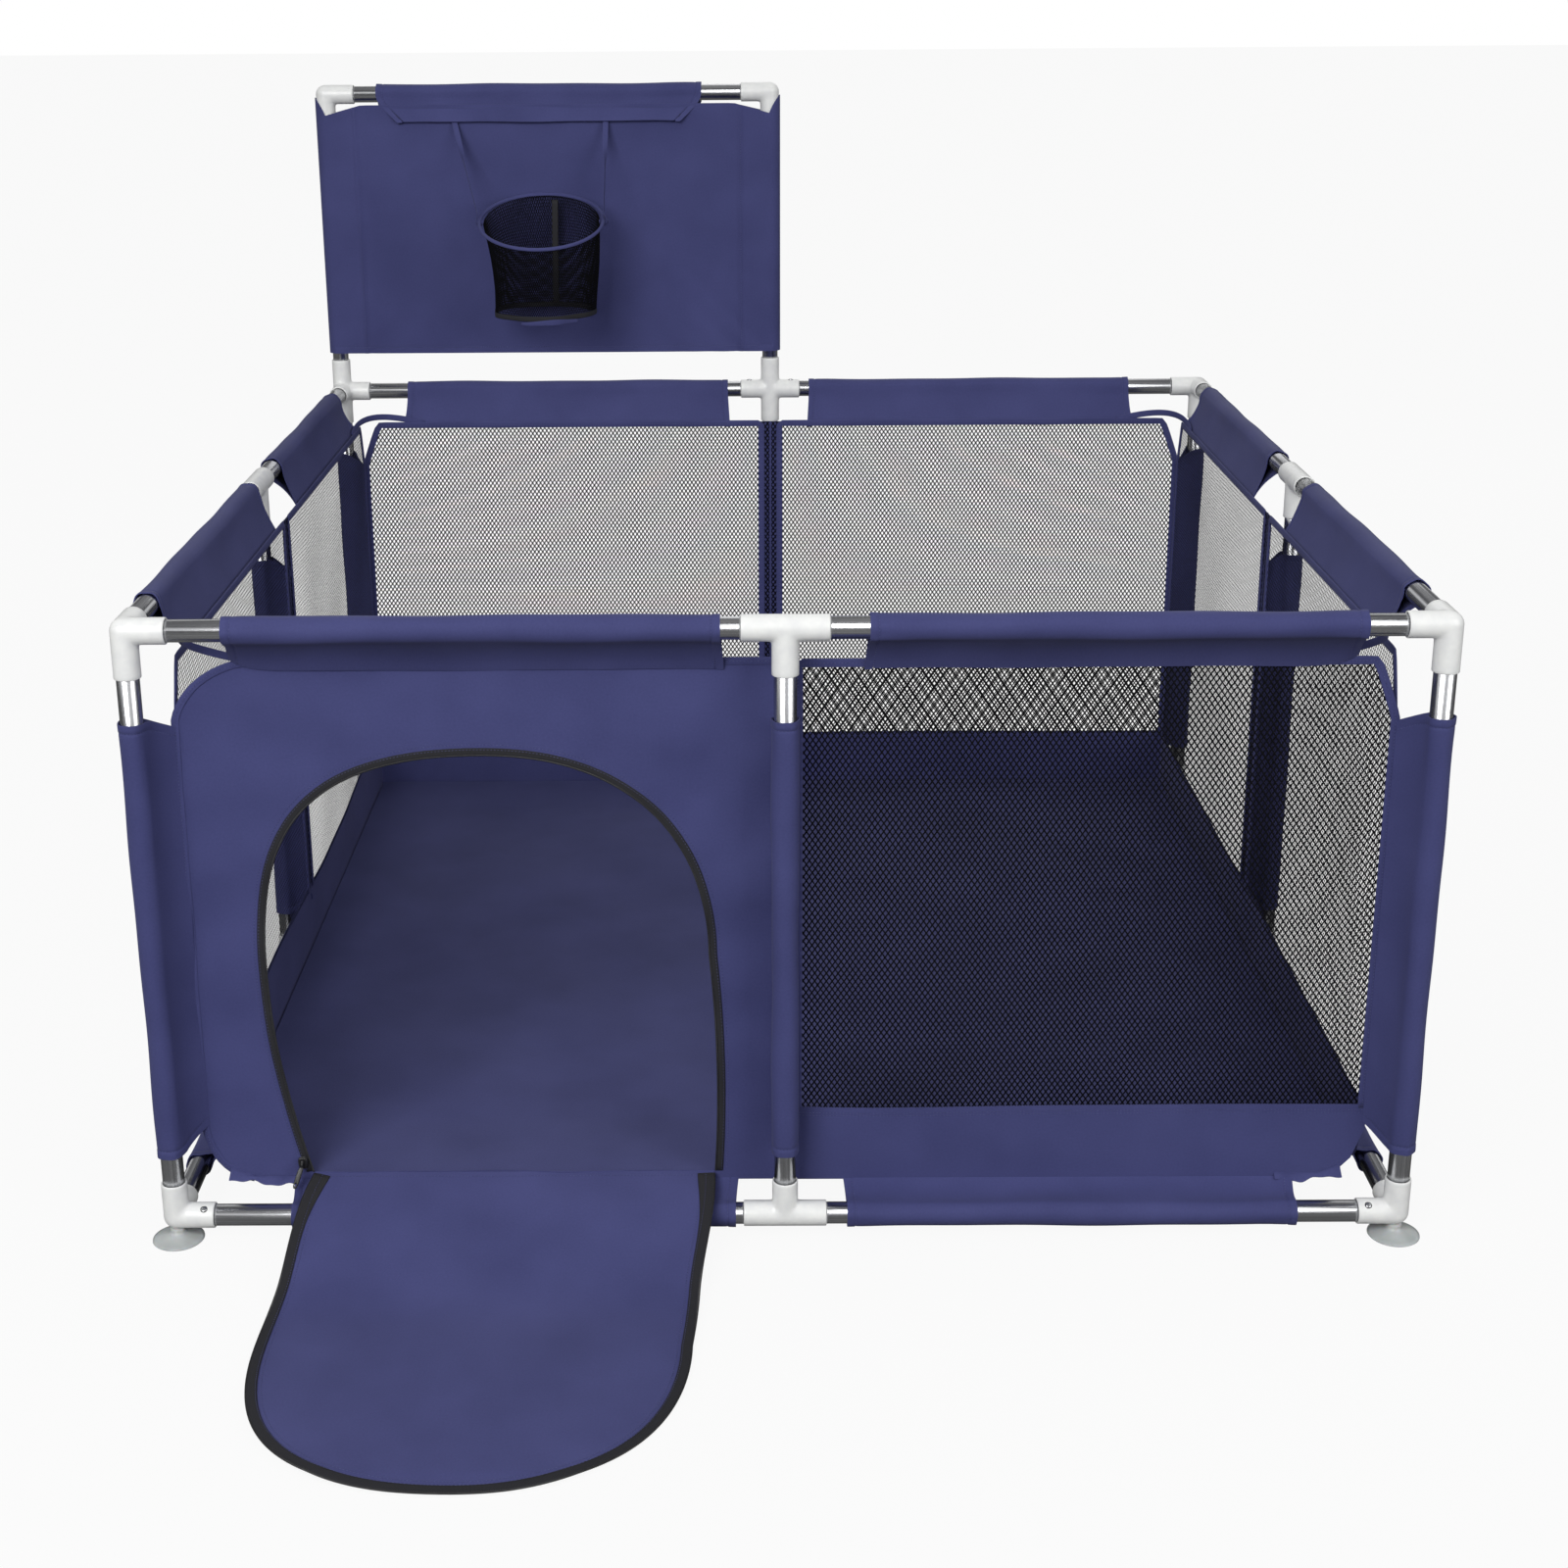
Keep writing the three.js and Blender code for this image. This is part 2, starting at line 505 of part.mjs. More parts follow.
// The net is a short tube with a soft waist; its top edge follows the tilted hoop.
const netDepth = HOOP.z - NET_BOTTOM_Z;
const netOuter = [[79, 1], [75, 0.6], [71, 0.25], [70, 0]];
const netInner = netOuter.map(([radius, level]) => [radius - CLOTH, level]);
const netProfile = [...netInner, ...netOuter.reverse(), netInner[0]];
const net = new THREE.LatheGeometry(
  netProfile.map(([radius, level]) => new THREE.Vector2(radius, level * netDepth)), 24,
).rotateX(Math.PI / 2);
const netPoints = net.attributes.position;
for (let i = 0; i < netPoints.count; i += 1) {
  const level = netPoints.getZ(i) / netDepth;
  const y = HOOP.y + netPoints.getY(i) * (1 - level * (1 - Math.cos(HOOP_TILT)));
  netPoints.setXYZ(i, HOOP.x + netPoints.getX(i), y,
    NET_BOTTOM_Z + level * (hoopPlaneZ(y) - NET_BOTTOM_Z));
}
addMesh('ball_net', solidOf(net), blackNet);

// ---- Origin --------------------------------------------------------------------------------

// The origin is on the ground under the middle of the yard with its door folded down.
const flapReach = -bendY + (DOOR_TOP - FLAP_GAP - FLAP_HINGE_Z - flapBend);
yard.position.y = (flapReach - BAY - FOOT_RADIUS) / 2;

export default yard;
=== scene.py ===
import math

import bmesh
import bpy
import numpy as np
from mathutils import Matrix, Vector


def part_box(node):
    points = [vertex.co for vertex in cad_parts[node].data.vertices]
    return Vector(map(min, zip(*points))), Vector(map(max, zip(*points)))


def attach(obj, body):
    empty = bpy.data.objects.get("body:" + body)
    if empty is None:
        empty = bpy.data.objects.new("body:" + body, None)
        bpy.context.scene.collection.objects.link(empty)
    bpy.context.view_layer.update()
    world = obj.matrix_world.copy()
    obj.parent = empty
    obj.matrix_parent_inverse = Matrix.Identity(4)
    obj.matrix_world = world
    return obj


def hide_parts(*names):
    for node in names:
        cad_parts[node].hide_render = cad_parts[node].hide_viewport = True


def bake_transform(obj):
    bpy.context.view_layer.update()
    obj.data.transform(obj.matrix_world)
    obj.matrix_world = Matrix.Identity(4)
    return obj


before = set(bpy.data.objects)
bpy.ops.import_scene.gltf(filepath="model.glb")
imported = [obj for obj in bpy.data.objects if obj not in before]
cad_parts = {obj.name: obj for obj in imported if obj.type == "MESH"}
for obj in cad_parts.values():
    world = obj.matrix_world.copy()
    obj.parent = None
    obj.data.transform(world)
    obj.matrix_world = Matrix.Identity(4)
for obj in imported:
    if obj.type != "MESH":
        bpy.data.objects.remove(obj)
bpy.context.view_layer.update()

# ---- Camera ---------------------------------------------------------------------------------
# A viewer stands in front of the yard, a little left of its middle, and looks down into it.
# The picture is framed with the yard slightly high and to the left.

eye = Vector((-0.0373, -2.4840, 1.2459))
yaw, pitch, roll = (math.radians(angle) for angle in (-0.381, 17.877, -0.405))
ahead = Vector((math.sin(yaw) * math.cos(pitch), math.cos(yaw) * math.cos(pitch), -math.sin(pitch)))
level_right = Vector((math.cos(yaw), -math.sin(yaw), 0))
level_up = level_right.cross(ahead)
right = math.cos(roll) * level_right + math.sin(roll) * level_up
up = math.cos(roll) * level_up - math.sin(roll) * level_right

camera_data = bpy.data.cameras.new("camera")
camera_data.lens = 52.59
camera_data.sensor_width = 36
camera_data.shift_x = 0.0336
camera_data.shift_y = -0.0576
camera = bpy.data.objects.new("camera", camera_data)
camera.matrix_world = Matrix.Translation(eye) @ Matrix((right, up, -ahead)).transposed().to_4x4()
bpy.context.scene.collection.objects.link(camera)
bpy.context.scene.camera = camera

# ---- Studio ---------------------------------------------------------------------------------
# A pale seamless floor under large soft lamps. The surroundings are light with a darker band at
# eye level, so that the bright tubes have something to mirror.


def linear(code, alpha=1.0):
    """Linear RGBA of an sRGB hex colour such as "#40416c"."""
    channels = [int(code[i:i + 2], 16) / 255 for i in (1, 3, 5)]
    return (*(c / 12.92 if c <= 0.04045 else ((c + 0.055) / 1.055) ** 2.4 for c in channels), alpha)


def add_node(tree, kind, settings=None, links=None, stops=None):
    """A new node. Settings name its properties or input sockets, links its input sockets, and
    stops gives a colour ramp its places and hex colours."""
    node = tree.nodes.new(kind)
    for name, value in (settings or {}).items():
        if hasattr(node, name):
            setattr(node, name, value)
        else:
            node.inputs[name].default_value = value
    for name, socket in (links or {}).items():
        tree.links.new(socket, node.inputs[name])
    if stops:
        while len(node.color_ramp.elements) < len(stops):
            node.color_ramp.elements.new(0.5)
        for element, (place, code) in zip(node.color_ramp.elements, stops):
            element.position = place
            element.color = linear(code)
    return node


world = bpy.data.worlds.new("studio")
world.use_nodes = True
bpy.context.scene.world = world
sky = world.node_tree
sky.nodes.clear()
sky_place = add_node(sky, "ShaderNodeTexCoord")
sky_axes = add_node(sky, "ShaderNodeSeparateXYZ", links={"Vector": sky_place.outputs["Generated"]})
sky_height = add_node(sky, "ShaderNodeMapRange", {"From Min": -1.0, "From Max": 1.0},
                      {"Value": sky_axes.outputs["Z"]})
sky_bands = add_node(sky, "ShaderNodeValToRGB", links={"Fac": sky_height.outputs["Result"]},
                     stops=[(0.0, "#b4b4b4"), (0.47, "#b4b4b4"), (0.51, "#242426"),
                            (0.58, "#505052"), (0.63, "#ffffff"), (0.71, "#f4f4f4"),
                            (0.77, "#464648"), (0.86, "#7a7a7c"), (1.0, "#a8a8a8")])
mirrored = add_node(sky, "ShaderNodeBackground", {"Strength": 0.85},
                    {"Color": sky_bands.outputs["Color"]})
white_walls = add_node(sky, "ShaderNodeBackground", {"Color": linear("#ffffff"), "Strength": 0.45})
seen = add_node(sky, "ShaderNodeBackground", {"Color": linear("#ffffff"), "Strength": 1.0})
sky_rays = add_node(sky, "ShaderNodeLightPath")
sky_gloss = add_node(sky, "ShaderNodeMixShader", links={"Fac": sky_rays.outputs["Is Glossy Ray"]})
sky.links.new(white_walls.outputs[0], sky_gloss.inputs[1])
sky.links.new(mirrored.outputs[0], sky_gloss.inputs[2])
sky_mix = add_node(sky, "ShaderNodeMixShader", links={"Fac": sky_rays.outputs["Is Camera Ray"]})
sky.links.new(sky_gloss.outputs[0], sky_mix.inputs[1])
sky.links.new(seen.outputs[0], sky_mix.inputs[2])
add_node(sky, "ShaderNodeOutputWorld", links={"Surface": sky_mix.outputs[0]})


def add_lamp(name, place, aim, size, power):
    """A square soft lamp that hangs at a place and points at another."""
    lamp_data = bpy.data.lights.new(name, "AREA")
    lamp_data.size = size
    lamp_data.energy = power
    lamp = bpy.data.objects.new(name, lamp_data)
    lamp.location = place
    lamp.rotation_euler = (Vector(aim) - Vector(place)).to_track_quat("-Z", "Y").to_euler()
    bpy.context.scene.collection.objects.link(lamp)


add_lamp("key_lamp", (-1.7, -3.4, 2.5), (0, 0, 0.4), 2.2, 112)
add_lamp("fill_lamp", (2.7, -2.6, 2.0), (0, 0, 0.4), 2.2, 48)
add_lamp("back_lamp", (0.6, 3.2, 2.8), (0, 0.2, 0.4), 2.4, 16)

studio_floor_mesh = bpy.data.meshes.new("studio_floor")
reach = 30.0
studio_floor_mesh.from_pydata([(-reach, -reach, 0), (reach, -reach, 0), (reach, reach, 0),
                               (-reach, reach, 0)], [], [(0, 1, 2, 3)])
studio_floor = bpy.data.objects.new("studio_floor", studio_floor_mesh)
bpy.context.scene.collection.objects.link(studio_floor)
pale_paper = bpy.data.materials.new("pale_paper")
pale_paper.use_nodes = True
paper = pale_paper.node_tree
paper.nodes.clear()
paper_lit = add_node(paper, "ShaderNodeBsdfDiffuse", {"Color": linear("#767676")})
paper_glow = add_node(paper, "ShaderNodeEmission", {"Color": linear("#ffffff"), "Strength": 1.16})
paper_rays = add_node(paper, "ShaderNodeLightPath")
paper_share = add_node(paper, "ShaderNodeMath", {"operation": "MULTIPLY"})
paper_share.inputs[1].default_value = 0.8
paper.links.new(paper_rays.outputs["Is Camera Ray"], paper_share.inputs[0])
paper_mix = add_node(paper, "ShaderNodeMixShader", links={"Fac": paper_share.outputs["Value"]})
paper.links.new(paper_lit.outputs[0], paper_mix.inputs[1])
paper.links.new(paper_glow.outputs[0], paper_mix.inputs[2])
add_node(paper, "ShaderNodeOutputMaterial", links={"Surface": paper_mix.outputs[0]})
studio_floor_mesh.materials.append(pale_paper)
bpy.context.scene.view_settings.view_transform = "Standard"

# ---- Steel tubes ----------------------------------------------------------------------------
# Seam-welded steel tube, 22 mm across with a 0.8 mm wall, drawn and polished along its length,
# so that it mirrors the room in long stripes. Each rail is two tubes that meet inside a tee.

TUBE_RADIUS = 0.011
TUBE_WALL = 0.0008
TUBE_END = 0.014         # from the middle of a fitting to the end of a tube


def grid_quads(rows, columns, closed_rows=False, closed_columns=False):
    """Corner numbers of the quads in a grid of points stored row by row, wrapped where closed."""
    row = np.arange(rows if closed_rows else rows - 1)[:, None]
    column = np.arange(columns if closed_columns else columns - 1)[None, :]
    next_row, next_column = (row + 1) % rows, (column + 1) % columns
    corners = [row * columns + column, row * columns + next_column,
               next_row * columns + next_column, next_row * columns + column]
    return np.stack(np.broadcast_arrays(*corners), -1).reshape(-1, 4)


def new_material(name, roughness, metallic=0.0, **sockets):
    """A Principled material with its uniform values on the shader's own sockets."""
    material = bpy.data.materials.new(name)
    material.use_nodes = True
    shader = material.node_tree.nodes["Principled BSDF"]
    for socket, value in {"Roughness": roughness, "Metallic": metallic, **sockets}.items():
        shader.inputs[socket].default_value = value
    return material, material.node_tree, shader


def new_piece(name, points, faces, material, body="frame", uv=None, grain=None, thickness=0.0,
              weld=False, smooth=True):
    """A mesh object from an array of points and its faces, riding on a body. The uv is in metres
    of cloth at each point, and grain is a place in the piece's own axes. A sheet gets its
    thickness on both sides of its surface."""
    mesh = bpy.data.meshes.new(name)
    faces = faces if isinstance(faces, list) else faces.tolist()
    mesh.from_pydata(np.reshape(points, (-1, 3)).tolist(), [], faces)
    if uv is not None:
        corners = np.zeros(len(mesh.loops), np.int64)
        mesh.loops.foreach_get("vertex_index", corners)
        layer = mesh.uv_layers.new(name="cloth")
        layer.data.foreach_set("uv", np.reshape(uv, (-1, 2))[corners].astype(np.float32).ravel())
    if grain is not None:
        attribute = mesh.attributes.new("grain", "FLOAT_VECTOR", "POINT")
        attribute.data.foreach_set("vector", np.reshape(grain, -1).astype(np.float32))
    mesh.polygons.foreach_set("use_smooth", [smooth] * len(mesh.polygons))
    mesh.materials.append(material)
    if weld:
        shell = bmesh.new()
        shell.from_mesh(mesh)
        bmesh.ops.remove_doubles(shell, verts=shell.verts, dist=2e-6)
        shell.to_mesh(mesh)
        shell.free()
    piece = bpy.data.objects.new(name, mesh)
    bpy.context.scene.collection.objects.link(piece)
    if thickness:
        edges = np.zeros(len(mesh.loops), np.int64)
        mesh.loops.foreach_get("edge_index", edges)
        mesh.edges.foreach_set("use_edge_sharp", np.bincount(edges, minlength=len(mesh.edges)) == 1)
        solidify = piece.modifiers.new("thickness", "SOLIDIFY")
        solidify.thickness, solidify.offset = thickness, 0
    if body:
        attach(piece, body)
    return piece


def turned_about(start, end, profile, sides=48):
    """Points of a surface of revolution about the line from start to end: each row is a circle
    with the distance along the line and the radius that the profile gives."""
    start, end = np.array(start, float), np.array(end, float)
    along = (end - start) / np.linalg.norm(end - start)
    across = np.cross(along, [0.0, 0.0, 1.0] if abs(along[2]) < 0.9 else [0.0, 1.0, 0.0])
    across /= np.linalg.norm(across)
    beside = np.cross(along, across)
    angle = np.linspace(0, 2 * np.pi, sides, endpoint=False)
    ring = np.cos(angle)[:, None] * across + np.sin(angle)[:, None] * beside
    distance, radius = np.array(profile, float).T
    points = start + distance[:, None, None] * along + radius[:, None, None] * ring
    local = np.stack(np.broadcast_arrays(radius[:, None] * np.cos(angle), radius[:, None]
                                         * np.sin(angle), distance[:, None]), -1)
    return points, local


polished_steel, steel_tree, steel_shader = new_material("polished_steel", 0.22, 1.0)
steel_grain = add_node(steel_tree, "ShaderNodeAttribute", {"attribute_name": "grain"})
steel_stretch = add_node(steel_tree, "ShaderNodeMapping", {"Scale": (900, 900, 4)},
                         {"Vector": steel_grain.outputs["Vector"]})
steel_lines = add_node(steel_tree, "ShaderNodeTexNoise", {"Scale": 1.0, "Detail": 3.0},
                       {"Vector": steel_stretch.outputs["Vector"]})
steel_tone = add_node(steel_tree, "ShaderNodeValToRGB", links={"Fac": steel_lines.outputs["Fac"]},
                      stops=[(0.3, "#b4b5b8"), (0.7, "#dcdde0")])
steel_rough = add_node(steel_tree, "ShaderNodeMapRange", {"To Min": 0.14, "To Max": 0.34},
                       {"Value": steel_lines.outputs["Fac"]})
steel_bump = add_node(steel_tree, "ShaderNodeBump", {"Strength": 0.12, "Distance": 0.0002},
                      {"Height": steel_lines.outputs["Fac"]})
steel_tree.links.new(steel_tone.outputs["Color"], steel_shader.inputs["Base Color"])
steel_tree.links.new(steel_rough.outputs["Result"], steel_shader.inputs["Roughness"])
steel_tree.links.new(steel_bump.outputs["Normal"], steel_shader.inputs["Normal"])


def middle(node):
    """The middle of a CAD node's box."""
    low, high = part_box(node)
    return (low + high) / 2


HALF = (middle("post_front_right").x - middle("post_front_left").x) / 2
YARD_Y = middle("cover_floor").y
BASE_Z = middle("base_rail_back").z
TOP_Z = middle("top_rail_left").z
HOOP_TOP_Z = middle("hoop_crossbar").z
PLACES = {"front_left": (-1, -1), "front_middle": (0, -1), "front_right": (1, -1),
          "right_middle": (1, 0), "back_right": (1, 1), "back_middle": (0, 1),
          "back_left": (-1, 1), "left_middle": (-1, 0)}


def station(place, height):
    """The point on a post's axis at a height."""
    across, along = PLACES[place]
    return Vector((across * HALF, YARD_Y + along * HALF, height))


def add_tube(name, start, end, node):
    """A hollow tube between the middles of two fittings, with its cut ends eased."""
    length = (end - start).length
    first, last, ease = TUBE_END, length - TUBE_END, 0.0002
    profile = [(first, TUBE_RADIUS - TUBE_WALL), (first, TUBE_RADIUS - ease),
               (first + ease, TUBE_RADIUS), (length / 2, TUBE_RADIUS), (last - ease, TUBE_RADIUS),
               (last, TUBE_RADIUS - ease), (last, TUBE_RADIUS - TUBE_WALL)]
    points, local = turned_about(start, end, profile)
    faces = grid_quads(len(profile), points.shape[1], True, True)
    tube = new_piece(name, points, faces, polished_steel, grain=local)
    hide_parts(node)


for place in PLACES:
    add_tube(f"tube_post_{place}", station(place, BASE_Z), station(place, TOP_Z), f"post_{place}")
around = list(PLACES) + ["front_left"]
for start, end in zip(around, around[1:]):
    side = max(set(start.split("_")) & set(end.split("_")) & {"front", "right", "back", "left"},
               key=lambda word: sum(word in name for name in (start, end, *PLACES)))
    end_name = (start if "middle" in end else end).split("_")[1]
    for level, height in (("top", TOP_Z), ("base", BASE_Z)):
        whole = f"{level}_rail_{side}"
        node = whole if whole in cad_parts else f"{whole}_{end_name}"
        add_tube(f"tube_{level}_{start}_to_{end}", station(start, height), station(end, height),
                 node)
hoop_left, hoop_right = station("back_left", HOOP_TOP_Z), station("back_middle", HOOP_TOP_Z)
add_tube("tube_hoop_left", station("back_left", TOP_Z), hoop_left, "hoop_upright_left")
add_tube("tube_hoop_right", station("back_middle", TOP_Z), hoop_right, "hoop_upright_right")
add_tube("tube_hoop_top", hoop_left, hoop_right, "hoop_crossbar")

# ---- Fittings -------------------------------------------------------------------------------
# Injection-moulded white plastic corners, tees and a cross. Each arm is a round socket for the
# end of a tube, and the arms melt into each other with a small fillet.

FITTING_RADIUS = 0.013
SOCKET_RADIUS = 0.0112
SOCKET_START = 0.0133
CORNER_ARM = 0.040
TEE_ARM = 0.042
TOP_LEG = 0.046
BASE_LEG = 0.038
FILLET = 0.0014

AXES = {"left": (-1.0, 0, 0), "right": (1.0, 0, 0), "front": (0, -1.0, 0), "back": (0, 1.0, 0),
        "down": (0, 0, -1.0), "up": (0, 0, 1.0)}


def melted_arms(points, headings):
    """How far points are outside arms that melt into each other. Each arm is a round bar from the
    middle outwards, and the ball in the middle and the arms join as -k log(sum exp(-d / k))."""
    ball = np.exp(-(np.linalg.norm(points, axis=-1) - FITTING_RADIUS) / FILLET)
    total = ball
    for heading in headings:
        along = np.maximum(points @ heading, 0)
        off_axis = np.linalg.norm(points - along[..., None] * heading, axis=-1)
        total = total + np.exp(-(off_axis - FITTING_RADIUS) / FILLET) - ball
    return -FILLET * np.log(total)


def out_to_surface(start, heading, headings):
    """Points where rays that start inside a fitting come out of it, found by halving."""
    near, far = np.zeros(heading.shape[:-1]), np.full(heading.shape[:-1], 0.030)
    for _ in range(30):
        half = (near + far) / 2
        inside = melted_arms(start + half[..., None] * heading, headings) < 0
        near, far = np.where(inside, half, near), np.where(inside, far, half)
    return start + far[..., None] * heading


def moulded_fitting(arms, segments=12):
    """Points and faces of a fitting, with its middle at the origin. A cube's six faces are pushed
    out to the surface. A face with an arm on it is stretched along the arm to its rim, and back
    down its socket; the others close the ball."""
    headings = [np.array(AXES[name]) for name in arms]
    spread = np.tan(np.linspace(-np.pi / 4, np.pi / 4, segments + 1))
    all_points, all_faces, count = [], [], 0
    for name, outwards in AXES.items():
        outwards = np.array(outwards)
        first = np.roll(np.abs(outwards), 1)
        second = np.cross(outwards, first)
        if name in arms:
            turn = np.linspace(0, 2 * np.pi, 4 * segments, endpoint=False)[None, :, None]
            turn = turn + np.pi / 4
            round_arm = np.cos(turn) * first + np.sin(turn) * second
            square = round_arm / np.maximum(np.abs(np.cos(turn)), np.abs(np.sin(turn)))
            corner = outwards + square
            corner /= np.linalg.norm(corner, axis=-1, keepdims=True)
            loop = out_to_surface(np.zeros(3), corner, headings)
            rim = arms[name] - 0.0009
            step = np.linspace(0, 1, 15)[:, None, None] ** 1.3
            along = (loop @ outwards)[..., None] * (1 - step) + rim * step
            side = out_to_surface(along * outwards,
                                  np.broadcast_to(round_arm, (15, *loop.shape[1:])), headings)
            side[0] = loop[0]
            mouth = np.array([(rim + 0.0006, FITTING_RADIUS - 0.0003),
                              (rim + 0.0009, FITTING_RADIUS - 0.0009),
                              (rim + 0.0007, SOCKET_RADIUS + 0.0001), (rim, SOCKET_RADIUS),
                              (SOCKET_START, SOCKET_RADIUS)])[:, :, None, None]
            points = np.concatenate([side, mouth[:, 0] * outwards + mouth[:, 1] * round_arm])
            faces = grid_quads(len(points), 4 * segments, closed_columns=True).tolist()
            last = (len(points) - 1) * 4 * segments
            faces.append(list(range(last, last + 4 * segments)))
        else:
            ray = outwards + spread[:, None, None] * first + spread[None, :, None] * second
            ray /= np.linalg.norm(ray, axis=-1, keepdims=True)
            points = out_to_surface(np.zeros(3), ray, headings)
            faces = grid_quads(segments + 1, segments + 1)[:, ::-1].tolist()
        all_faces += [[corner + count for corner in face] for face in faces]
        all_points.append(points.reshape(-1, 3))
        count += len(all_points[-1])
    return np.concatenate(all_points), all_faces


# Moulded ABS: a glossy, slightly wavy skin over an even white, a little dusty in tone.
white_abs, abs_tree, abs_shader = new_material("moulded_white_abs", 0.3, IOR=1.53)
abs_place = add_node(abs_tree, "ShaderNodeTexCoord")
abs_flow = add_node(abs_tree, "ShaderNodeTexNoise", {"Scale": 90.0, "Detail": 4.0},
                    {"Vector": abs_place.outputs["Object"]})
abs_tone = add_node(abs_tree, "ShaderNodeValToRGB", links={"Fac": abs_flow.outputs["Fac"]},
                    stops=[(0.3, "#e2e3e3"), (0.7, "#ecedeb")])
abs_rough = add_node(abs_tree, "ShaderNodeMapRange", {"To Min": 0.24, "To Max": 0.4},
                     {"Value": abs_flow.outputs["Fac"]})
abs_skin = add_node(abs_tree, "ShaderNodeTexNoise", {"Scale": 1400.0, "Detail": 2.0},
                    {"Vector": abs_place.outputs["Object"]})
abs_bump = add_node(abs_tree, "ShaderNodeBump", {"Strength": 0.15, "Distance": 0.0001},
                    {"Height": abs_skin.outputs["Fac"]})
abs_tree.links.new(abs_tone.outputs["Color"], abs_shader.inputs["Base Color"])
abs_tree.links.new(abs_rough.outputs["Result"], abs_shader.inputs["Roughness"])
abs_tree.links.new(abs_bump.outputs["Normal"], abs_shader.inputs["Normal"])


def add_fitting(node, centre, arms):
    """One fitting with its middle at a point of the frame."""
    points, faces = moulded_fitting(arms)
    fitting = new_piece(f"fitting_{node}", points + np.array(centre), faces, white_abs, weld=True)
    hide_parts(node)


for place, (across, along) in PLACES.items():
    if "middle" in place:
        side = place.split("_")[0]
        rails = ("left", "right") if across == 0 else ("front", "back")
        rail_arms, kind = {name: TEE_ARM for name in rails}, "tee"
        base_name, top_name = f"base_tee_{side}", f"top_tee_{side}"
        if side == "back":
            top_name = "top_cross_back"
    else:
        rails = ("right" if across < 0 else "left", "back" if along < 0 else "front")
        rail_arms = {name: CORNER_ARM for name in rails}
        base_name, top_name = f"base_corner_{place}", f"top_corner_{place}"
    add_fitting(base_name, station(place, BASE_Z), {**rail_arms, "up": BASE_LEG})
    top_arms = {**rail_arms, "down": TOP_LEG}
    if place in ("back_left", "back_middle"):
        top_arms["up"] = TOP_LEG
    add_fitting(top_name, station(place, TOP_Z), top_arms)
add_fitting("hoop_elbow_left", hoop_left, {"right": CORNER_ARM, "down": CORNER_ARM})
add_fitting("hoop_elbow_right", hoop_right, {"left": CORNER_ARM, "down": CORNER_ARM})

# ---- Suction feet ---------------------------------------------------------------------------
# Soft clear PVC suction cups under the four corners, moulded in one piece with a short neck
# and a stem that is pushed into the corner fitting.

# Radius and height in metres, from the middle of the hollow underside outwards and up.
FOOT_SECTION = [(0, .0035), (.006, .0033), (.012, .0025), (.017, .0012), (.021, .0002),
                (.0255, 0), (.0262, .0006), (.026, .0014), (.0225, .0024), (.018, .0038),
                (.013, .0057), (.0095, .0071), (.0078, .0086), (.0073, .0105), (.0075, .0124),
                (.0068, .0131), (.0043, .0134), (.004, .0142), (.004, .019), (0, .0195)]

clear_pvc, pvc_tree, pvc_shader = new_material(
    "clear_soft_pvc", 0.28, IOR=1.53, **{"Transmission Weight": 0.35, "Subsurface Weight": 0.15})
pvc_place = add_node(pvc_tree, "ShaderNodeTexCoord")
pvc_cloud = add_node(pvc_tree, "ShaderNodeTexNoise", {"Scale": 60.0, "Detail": 3.0},
                     {"Vector": pvc_place.outputs["Object"]})
pvc_tone = add_node(pvc_tree, "ShaderNodeValToRGB", links={"Fac": pvc_cloud.outputs["Fac"]},
                    stops=[(0.3, "#cdcccb"), (0.7, "#dfdedd")])
pvc_bump = add_node(pvc_tree, "ShaderNodeBump", {"Strength": 0.2, "Distance": 0.0004},
                    {"Height": pvc_cloud.outputs["Fac"]})
pvc_tree.links.new(pvc_tone.outputs["Color"], pvc_shader.inputs["Base Color"])
pvc_tree.links.new(pvc_bump.outputs["Normal"], pvc_shader.inputs["Normal"])

for place in ("front_left", "front_right", "back_right", "back_left"):
    centre = station(place, 0)
    points, _ = turned_about(centre, centre + Vector((0, 0, 1)),
                             [(height, radius) for radius, height in FOOT_SECTION])
    foot = new_piece(f"suction_cup_{place}", points,
                     grid_quads(len(FOOT_SECTION), points.shape[1], closed_columns=True),
                     clear_pvc, weld=True)
    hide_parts(f"suction_foot_{place}")

# ---- Lock buttons ---------------------------------------------------------------------------
# Sprung steel buttons inside the tubes' ends. Each comes out through a hole in a fitting's arm
# and locks the tube there, until it is pressed in.

BUTTON_RADIUS = 0.003
HOLE_RADIUS = 0.0036

# Painted shadow: a near-black matt colour that stands in for the shaded inside of the hole round
# each button.
painted_hole_shadow, _, gap_shader = new_material("shadow_gap", 0.9)
gap_shader.inputs["Base Color"].default_value = linear("#1b1c1e")

